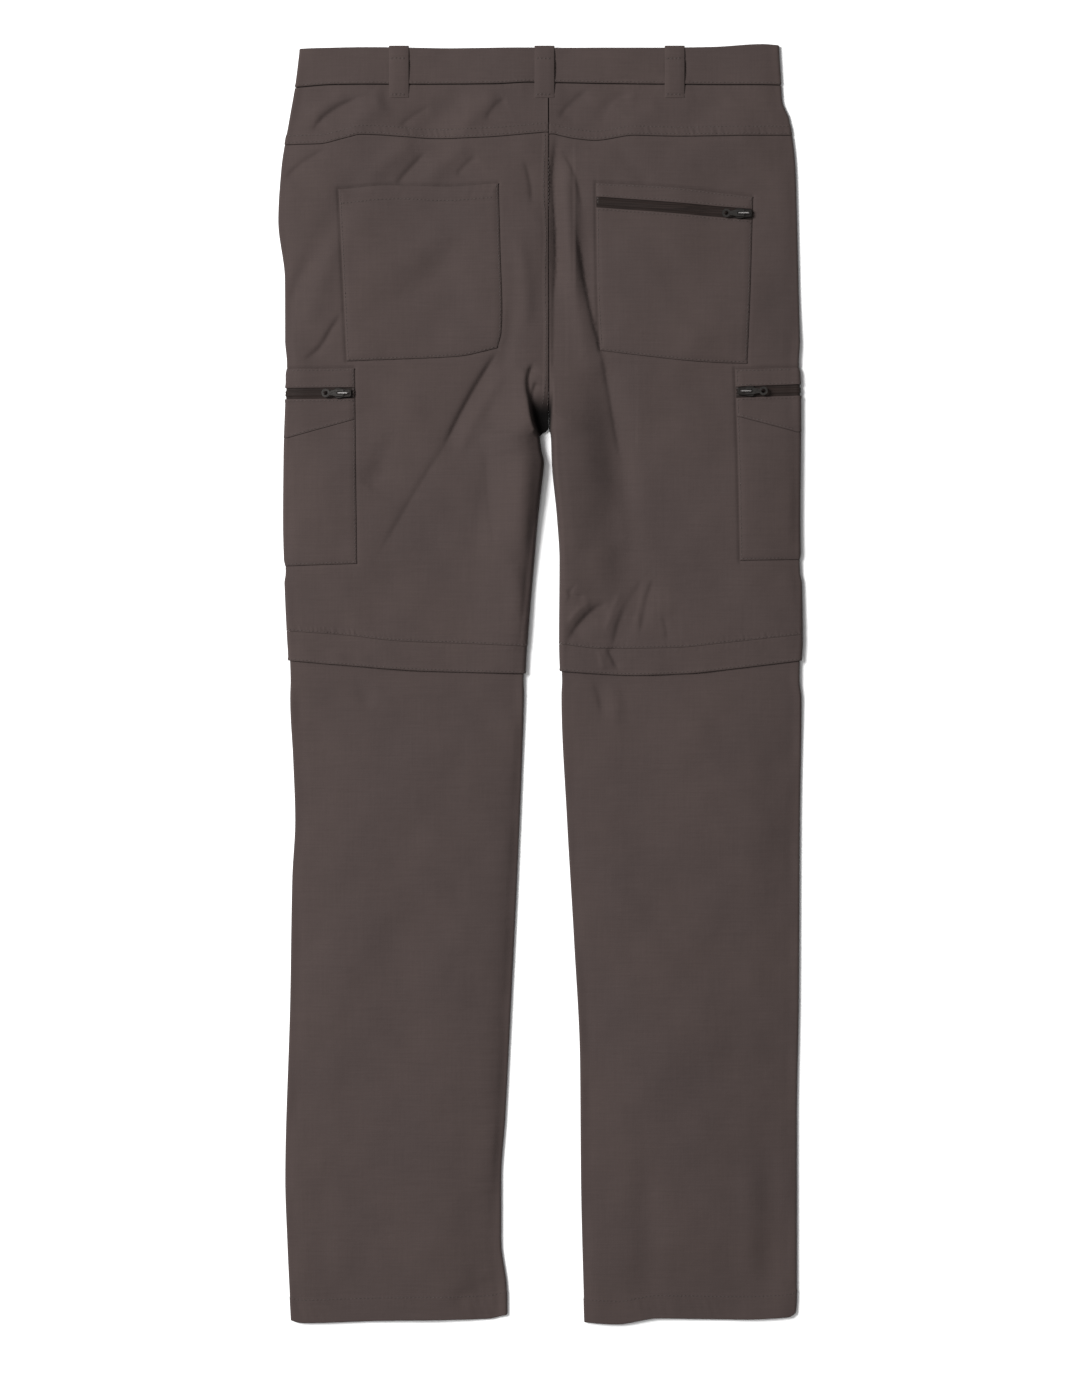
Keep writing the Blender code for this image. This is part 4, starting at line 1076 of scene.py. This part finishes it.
def leg_layer(side, front):
    """The flap, the zip's tape and the lower leg of one leg's front or back layer. The front has no seams'
    relief, because it lies on the floor."""
    name = side_name(side)
    piece = name + ("_front" if front else "_back")
    outward = UNDER if front else UP
    flap_step, leg_step, arc = (COARSE_STEP, COARSE_STEP, COARSE_ARC) if front else (FINE_STEP, LEG_STEP, ARC)

    def layer(part, grid, rests_on, allowances=(), gathers=(), **more):
        if front:
            allowances, gathers = (), ()
        cloth_piece(
            f"{part}_{piece}", grid, outward, rests_on=rests_on, allowances=allowances, gathers=gathers, **more
        )

    top, bottom = seam(FLAP_SEAM[side], FLAP_GAP / 2), seam(FLAP_EDGE[side])
    layer(
        "flap", tube_grid(UPPER, upper_edges(side), top, bottom, flap_step, arc, front),
        ["floor" if front else "lower_" + piece], (("bottom", 0.25, 2.6),),
        (("top", 0.14, 6.0, 3.4), ("bottom", 0.25, 16.0, 31.0)), turn_in=10.0, rims=(("top", JOINED_RIM),),
    )
    edges = ordered(side, *lower_edges(side))
    top, bottom = (seam(FLAP_SEAM[side], by) for by in LEG_ZIP)
    layer(
        "legzip", tube_grid(LOWER, edges, top, bottom, LEG_ZIP_STEP, COARSE_ARC, front),
        ["flap_" + piece if front else f"legzip_{name}_front"], wall=TAPE_WALL, slot="zip_tape", turn_in=3.0,
    )
    top, bottom = seam(FLAP_SEAM[side], LEG_ZIP[1] + SEAM_GAP), seam(HEM[side])
    layer(
        "lower", tube_grid(LOWER, edges, top, bottom, leg_step, arc, front),
        ["floor" if front else f"lower_{name}_front"], (("bottom", 0.3, 20.5),),
        (("bottom", 0.12, 24.0, 9.0),), turn_in=20.0,
    )


# Pockets

POCKET_STEP, HIDDEN_STEP = 1.9, 4.0  # the second is for what a side pocket has under the side
PILLOW, PILLOW_REACH = 0.45, 26.0  # how far a patch's middle stands up, and how far in from its edges
ZIP_STEP = 0.45
ZIP_WALL = 0.08
ZIP_MARGIN = 1.4  # how far a zip's tape goes on under the cloth beside it
TAPE_LEAST, TAPE_RISE = 0.10, 0.3
LIP_RISE, LIP_END = 0.7, (1.9, 2.5)
MEETING_DEPTH, MEETING = 0.4, (0.12, 0.45)  # of the groove where the lips meet
RIB_HEIGHT, RIB_PITCH = 0.07, 1.35
LOOP_STEPS, LOOP_CROWN = (0.9, 1.0), 0.25
LOOP_TACKS = ((12.5, 1.3, 0.5), (42.6, 1.2, 0.35))  # (down, half width, depth)


def patch_grid(patch, side, step):
    """Points on the back layer inside four edges, as rows of (x, down, z)."""
    corners = np.array([[patch.top[0], patch.top[-1]], [patch.bottom[0], patch.bottom[-1]]], float)
    width = corners[0, 1, 0] - corners[0, 0, 0]
    height = corners[1, 0, 1] - corners[0, 0, 1]
    u = (edged(0, width, step) / width)[None, :, None]
    v = (edged(0, height, step) / height)[:, None, None]

    def across(table, first, last):
        x = first[0] + (last[0] - first[0]) * u[..., 0]
        return np.stack((x, along(table, x)), axis=-1)

    def downwards(table, first, last):
        down = first[1] + (last[1] - first[1]) * v[..., 0]
        return np.stack((along(table, down), down), axis=-1)

    top, bottom = across(patch.top, *corners[0]), across(patch.bottom, *corners[1])
    left = downwards(patch.left, corners[0, 0], corners[1, 0])
    right = downwards(patch.right, corners[0, 1], corners[1, 1])
    flat = (1 - v) * top + v * bottom + (1 - u) * left + u * right
    flat = flat - (
        (1 - v) * (1 - u) * corners[0, 0] + (1 - v) * u * corners[0, 1]
        + v * (1 - u) * corners[1, 0] + v * u * corners[1, 1]
    )
    x, down = flat[..., 0], flat[..., 1]
    z = back_height(UPPER, upper_edges(side), x, down, UPPER.radius(down), covering=True)
    return np.stack((x, down, z), axis=-1)


def lowered(table, by):
    return tuple((x, down + by) for x, down in table)


def pillow(points):
    away = np.min([reach_from(points, edge) for edge in EDGES], axis=0)
    raised = points.copy()
    raised[..., 2] += PILLOW * smooth(away, 2.0, PILLOW_REACH)
    return raised


def tape_relief(points, half_width, place):
    """A closed coil zip seen from its smooth side: two tapes with raised lips that meet in the middle."""
    off = np.abs(reach_from(points, "top") - reach_from(points, "bottom")) / 2
    lips = 1 - smooth(off, *LIP_END)
    shape = TAPE_LEAST + TAPE_RISE * (1 - smooth(off, half_width - 0.5, half_width + 0.3)) + LIP_RISE * lips
    shape -= MEETING_DEPTH * (1 - smooth(off, *MEETING))
    ribs = RIB_HEIGHT * np.sin(2 * math.pi * place / RIB_PITCH) * lips * smooth(off, 0.35, 0.7)
    return shape + ribs


def tape_piece(node, points, outward, half_width, rests_on):
    points = world(points)
    normals, _ = normals_of(points, outward)
    raised = tape_relief(points, half_width, reach_from(points, "left"))
    cloth_piece(
        node, local(points + normals * raised[..., None]), outward, ZIP_WALL, slot="zip_tape", turn_in=0.5,
        rests_on=rests_on, rim=0.02,
    )


def pocket_piece(node, points, outward, **more):
    cloth_piece(node, points, outward, POCKET_WALL, offset=POCKET_RISE, pressed=1.0, rim=0.2, **more)


def on_edges(edges, *row):
    """The same allowance or gather along several edges."""
    return [(edge, *row) for edge in edges.split()]


EDGE_FOLD, EDGE_GATHER = (0.25, 2.2), (0.10, 4.5, 5.0)
BY_ZIP, BY_ZIP_GATHER = (0.35, 2.6), (0.08, 5.0, 5.0)


def back_pockets():
    pocket_piece(
        "pocket_left", pillow(patch_grid(LEFT_POCKET, -1, POCKET_STEP)), UP,
        allowances=(("top", 0.35, 12.6), *on_edges("left right bottom", *EDGE_FOLD)),
        gathers=(("top", 0.16, 16.0, 9.5), *on_edges("left right bottom", *EDGE_GATHER)),
        rests_on=["back_left"], turn_in=5.0,
    )
    top = Patch(RIGHT_TOP, lowered(RIGHT_ZIP_TOP, -HALF_GAP), RIGHT_LEFT, RIGHT_RIGHT)
    pocket_piece(
        "pocket_right_top", patch_grid(top, 1, POCKET_STEP), UP,
        allowances=(*on_edges("left right", *EDGE_FOLD), ("top", 0.2, 2.2), ("bottom", *BY_ZIP)),
        gathers=(("top", *EDGE_GATHER), ("bottom", *BY_ZIP_GATHER)), rests_on=["back_right"], turn_in=3.0,
    )
    panel = Patch(lowered(RIGHT_ZIP_BOTTOM, HALF_GAP), RIGHT_BOTTOM, RIGHT_LEFT, RIGHT_RIGHT)
    pocket_piece(
        "pocket_right_panel", pillow(patch_grid(panel, 1, POCKET_STEP)), UP,
        allowances=(*on_edges("left right bottom", *EDGE_FOLD), ("top", *BY_ZIP)),
        gathers=(*on_edges("left right bottom", *EDGE_GATHER), ("top", *BY_ZIP_GATHER)),
        rests_on=["back_right"], turn_in=5.0,
    )
    zip_top, zip_bottom = lowered(RIGHT_ZIP_TOP, -ZIP_MARGIN), lowered(RIGHT_ZIP_BOTTOM, ZIP_MARGIN)
    zip_grid = patch_grid(Patch(zip_top, zip_bottom, RIGHT_LEFT, RIGHT_RIGHT), 1, ZIP_STEP)
    tape_piece("pocket_right_zip", zip_grid, UP, 4.4, ["back_right"])


def cargo_grid(side, top, bottom, top_by, bottom_by, down_step, across_step):
    """Rows of points round the side fold, from the pocket's edge on the back to its edge on the front."""
    top_side, top_inner = CARGO_SEAMS[side][top]
    bottom_side, bottom_inner = CARGO_SEAMS[side][bottom]
    side_edge = upper_side(side)
    middle = (top_side + bottom_side) / 2
    width = abs(float(along(CARGO_INNER_X[side], middle)) - float(side_edge.x(middle))) - LEG_RADIUS
    shares = (edged(0, width, across_step) / width)[::-1]
    low_shares = edged(0, width, HIDDEN_STEP) / width
    share = np.concatenate((shares, np.zeros(2 * len(ARC) - 3), low_shares))[None, :]
    angle = np.concatenate(
        (np.full(len(shares), 90.0), ARC[::-1][1:], -ARC[1:-1], np.full(len(low_shares), -90.0))
    )[None, :]
    length = bottom_side + bottom_by - top_side - top_by
    q = (edged(0, length, down_step) / length)[:, None]
    upper = top_side + share * (top_inner - top_side) + top_by
    lower = bottom_side + share * (bottom_inner - bottom_side) + bottom_by
    down = (1 - q) * upper + q * lower
    edge_x = side_edge.x(down)
    flat = np.abs(along(CARGO_INNER_X[side], down) - edge_x) - LEG_RADIUS
    inset = np.where(share > 0, LEG_RADIUS + share * flat, fold_inset(LEG_RADIUS, np.abs(angle)))
    x = edge_x - side * inset
    height = LEG_RADIUS * np.sin(np.radians(angle))
    back = back_height(UPPER, upper_edges(side), x, down, np.maximum(height, 0.0), covering=True)
    z = np.where(angle >= 0, back, upper_lift(x, down) + LEG_RADIUS + height)
    return np.stack((x, down, z), axis=-1)


# (piece, the seams it lies between, how far its two ends are moved from them, allowances)
CARGO_PIECES = (
    ("top", "top", "zip_top", 0.0, -HALF_GAP, (("top", 0.2, 2.2), ("bottom", *BY_ZIP))),
    ("band", "zip_bottom", "slant", HALF_GAP, -HALF_GAP, (("top", *BY_ZIP), ("bottom", *EDGE_FOLD))),
    ("panel", "slant", "bottom", HALF_GAP, 0.0, (("bottom", *EDGE_FOLD),)),
)


def cargo_pocket(side):
    name = "cargo_" + side_name(side)
    outward = np.array((float(side), 0.0, 1.0))
    on = ["back_" + side_name(side), "front_" + side_name(side)]
    for piece, *between, allowances in CARGO_PIECES:
        pocket_piece(
            f"{name}_{piece}", cargo_grid(side, *between, POCKET_STEP, POCKET_STEP), outward, held="folded",
            rests_on=on, allowances=(*allowances, ("left", *EDGE_FOLD)),
            gathers=(("left", *EDGE_GATHER), *on_edges("top bottom", 0.08, 4.5, 5.0)), turn_in=3.0,
        )
    grid = cargo_grid(side, "zip_top", "zip_bottom", -ZIP_MARGIN, ZIP_MARGIN, ZIP_STEP, 0.5)
    tape_piece(name + "_zip", grid, outward, 4.5, on)


def belt_loops():
    for name, (low, high) in BELT_LOOPS.items():
        down = edged(LOOP_PATH[0][0], LOOP_PATH[-1][0], LOOP_STEPS[0])[:, None]
        down, x = np.broadcast_arrays(down, edged(low, high, LOOP_STEPS[1])[None, :])
        crown = LOOP_CROWN * np.cos(math.pi * (x - (low + high) / 2) / (high - low))
        tacks = sum(depth * np.exp(-(((down - at) / half) ** 2)) for at, half, depth in LOOP_TACKS)
        z = 2 * BAND_RADIUS + LOOP_RISE + along(LOOP_PATH, down) + crown - tacks
        cloth_piece(
            "belt_loop_" + name, np.stack((x, down, z), axis=-1), UP, LOOP_WALL, turn_in=3.0,
            rests_on=["waistband_back"], held="folded", pressed=0.45, rim=0.25,
        )


# Sewing

STITCH_RANDOM = np.random.default_rng(5)
STITCH_RINGS = (
    (0.0, -0.16, 0.10), (0.16, 0.10, 0.22), (0.5, 0.17, 0.24), (0.84, 0.10, 0.22), (1.0, -0.16, 0.10),
)  # (share of a stitch's length, height over the cloth, radius)
STITCH_SIDES = 5
STITCH_LENGTH, STITCH_GAP, STITCH_JITTER = 2.5, 0.8, 0.05
STITCH_LOOK = 0.4  # how far along the line its direction is taken


def at_reach(reach, values, at):
    return np.stack([np.interp(at, reach, values[..., axis]) for axis in range(3)], axis=-1)


def path_at(piece, edge, away):
    """A line on a piece at a distance from one of its edges, with its normals."""
    points, normals = piece.points, piece.normals
    reach = reach_from(points, edge)
    if edge in ("left", "right"):
        points, normals = np.swapaxes(points, 0, 1), np.swapaxes(normals, 0, 1)
        reach = reach.T
    if edge in ("bottom", "right"):
        points, normals, reach = points[::-1], normals[::-1], reach[::-1]
    line, line_normals = (
        np.array([at_reach(reach[:, j], values[:, j], away) for j in range(reach.shape[1])])
        for values in (points, normals)
    )
    return line, unit(line_normals)


def stitch_row(line, normals, start=0.0, end=0.0):
    """Vertices and faces of stitches along a line. Each rises out of the cloth and sinks back into it."""
    reach = np.concatenate(([0], np.cumsum(np.linalg.norm(np.diff(line, axis=0), axis=1))))
    count = int((reach[-1] - start - end) / (STITCH_LENGTH + STITCH_GAP))
    starts = start + np.arange(count) * (STITCH_LENGTH + STITCH_GAP)
    rings = []
    jitter = STITCH_RANDOM.normal(0, STITCH_JITTER, (count, 2))
    around = np.arange(STITCH_SIDES) * 2 * math.pi / STITCH_SIDES
    for place, lift, radius in STITCH_RINGS:
        at = starts + place * STITCH_LENGTH
        centre, ahead, behind = (at_reach(reach, line, at + by) for by in (0, STITCH_LOOK, -STITCH_LOOK))
        normal = unit(at_reach(reach, normals, at))
        sideways = unit(np.cross(normal, ahead - behind))
        middle = centre + normal * (lift + jitter[:, :1]) + sideways * (jitter[:, 1:] * (1 + place))
        rings.append(
            middle[:, None]
            + sideways[:, None] * (radius * np.cos(around))[None, :, None]
            + normal[:, None] * (radius * np.sin(around))[None, :, None]
        )
    vertices = np.stack(rings, axis=1)
    base = np.arange(count)[:, None, None] * len(STITCH_RINGS) * STITCH_SIDES
    row = base + np.arange(len(STITCH_RINGS) - 1)[None, :, None] * STITCH_SIDES
    col = np.arange(STITCH_SIDES)[None, None, :]
    follow = (col + 1) % STITCH_SIDES
    over = row + STITCH_SIDES
    faces = np.stack((row + col, row + follow, over + follow, over + col), axis=-1)
    return vertices.reshape(-1, 3), faces.reshape(-1, 4)


def sewn(name, rows):
    """One object for several rows. Each is (piece, edge, distance from the edge), and then how far it stays
    from the edge's start and end if it does."""
    vertices, faces, total = [], [], 0
    for node, edge, away, *ends in rows:
        new_vertices, new_faces = stitch_row(*path_at(PIECES[node], edge, away), *ends)
        vertices.append(new_vertices)
        faces.append(new_faces + total)
        total += len(new_vertices)
    carried(mesh_object(name, np.concatenate(vertices), np.concatenate(faces), THREAD))


# Rows of stitches on pockets of several pieces: (piece, edge, distance from the edge, start, end)
CARGO_ROWS = (
    ("top", "top", 1.5, 1.0, 64.0), ("top", "bottom", 1.6, 1.0, 64.0), ("band", "top", 1.6, 1.0, 64.0),
    ("band", "bottom", 1.5, 1.0, 64.0), ("panel", "bottom", 1.5, 1.0, 64.0), ("top", "left", 1.5, 1.5, 1.0),
    ("band", "left", 1.5, 0.5, 1.0), ("panel", "left", 1.5, 0.5, 1.5),
)
RIGHT_ROWS = (
    ("top", "top", 1.5, 1.0, 1.0), ("top", "bottom", 1.6, 1.0, 1.0), ("top", "left", 1.5, 1.5, 1.0),
    ("top", "right", 1.5, 1.5, 1.0), ("panel", "top", 1.6, 1.0, 1.0), ("panel", "bottom", 1.5, 1.0, 1.0),
    ("panel", "left", 1.5, 1.0, 1.5), ("panel", "right", 1.5, 1.0, 1.5),
)


def sewing():
    sewn("stitches_waist", [("waistband_back", "bottom", 1.5)])
    for side in SIDES:
        name = side_name(side)
        sewn("stitches_yoke_" + name, [("yoke_" + name, "bottom", away) for away in (1.7, 7.6)])
        rows = [("back_" + name, "bottom", 1.3), (f"flap_{name}_back", "bottom", 1.6)]
        sewn("stitches_flap_" + name, rows)
        sewn("stitches_hem_" + name, [(f"lower_{name}_back", "bottom", 19.6)])
        sewn("stitches_cargo_" + name, [(f"cargo_{name}_{piece}", *row) for piece, *row in CARGO_ROWS])
        if side < 0:
            sewn("stitches_centre", [("back_left", "right", away, 1.0, 206.0) for away in (2.2, 6.4)])
    rows = on_edges("left right bottom", 1.5, 1.0, 1.0) + on_edges("top", 12.0, 2.0, 2.0)
    sewn("stitches_pocket_left", [("pocket_left", *row) for row in rows])
    sewn("stitches_pocket_right", [("pocket_right_" + piece, *row) for piece, *row in RIGHT_ROWS])
    zips = ("pocket_right_zip", "cargo_left_zip", "cargo_right_zip")
    sewn("stitches_zip_ends", [(node, "left", away, 1.4, 1.2) for node in zips for away in (0.8, 1.7)])
    rows = (("top", 10.7), ("top", 11.5), ("bottom", 2.5), ("bottom", 3.3))
    sewn("stitches_loops", [("belt_loop_" + name, *row, 1.2, 1.2) for name in BELT_LOOPS for row in rows])


waistband()
upper_panels()
for leg in SIDES:
    for is_front in (False, True):
        leg_layer(leg, is_front)
back_pockets()
for leg in SIDES:
    cargo_pocket(leg)
belt_loops()
sewing()

# The rigid zip sliders and pulls keep their solids and get gunmetal: (dark, bright for wear and painted
# highlight, height over the slider's foot from which it is bright)
METALS = {
    "slider": ((0.035, 0.031, 0.029), (0.45, 0.43, 0.42), 0.0040),
    "pull": ((0.030, 0.027, 0.025), (0.06, 0.056, 0.053), 0.0034),
}
for zip_name in ("back", "left", "right"):
    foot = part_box("slider_" + zip_name)[0].z
    for part, (dark, wear_and_highlight, height) in METALS.items():
        finish = metal_material(f"{part}_metal_{zip_name}", dark, wear_and_highlight, foot + height)
        for spot in frame["nodes"][f"{part}_{zip_name}"].material_slots:
            spot.material = finish
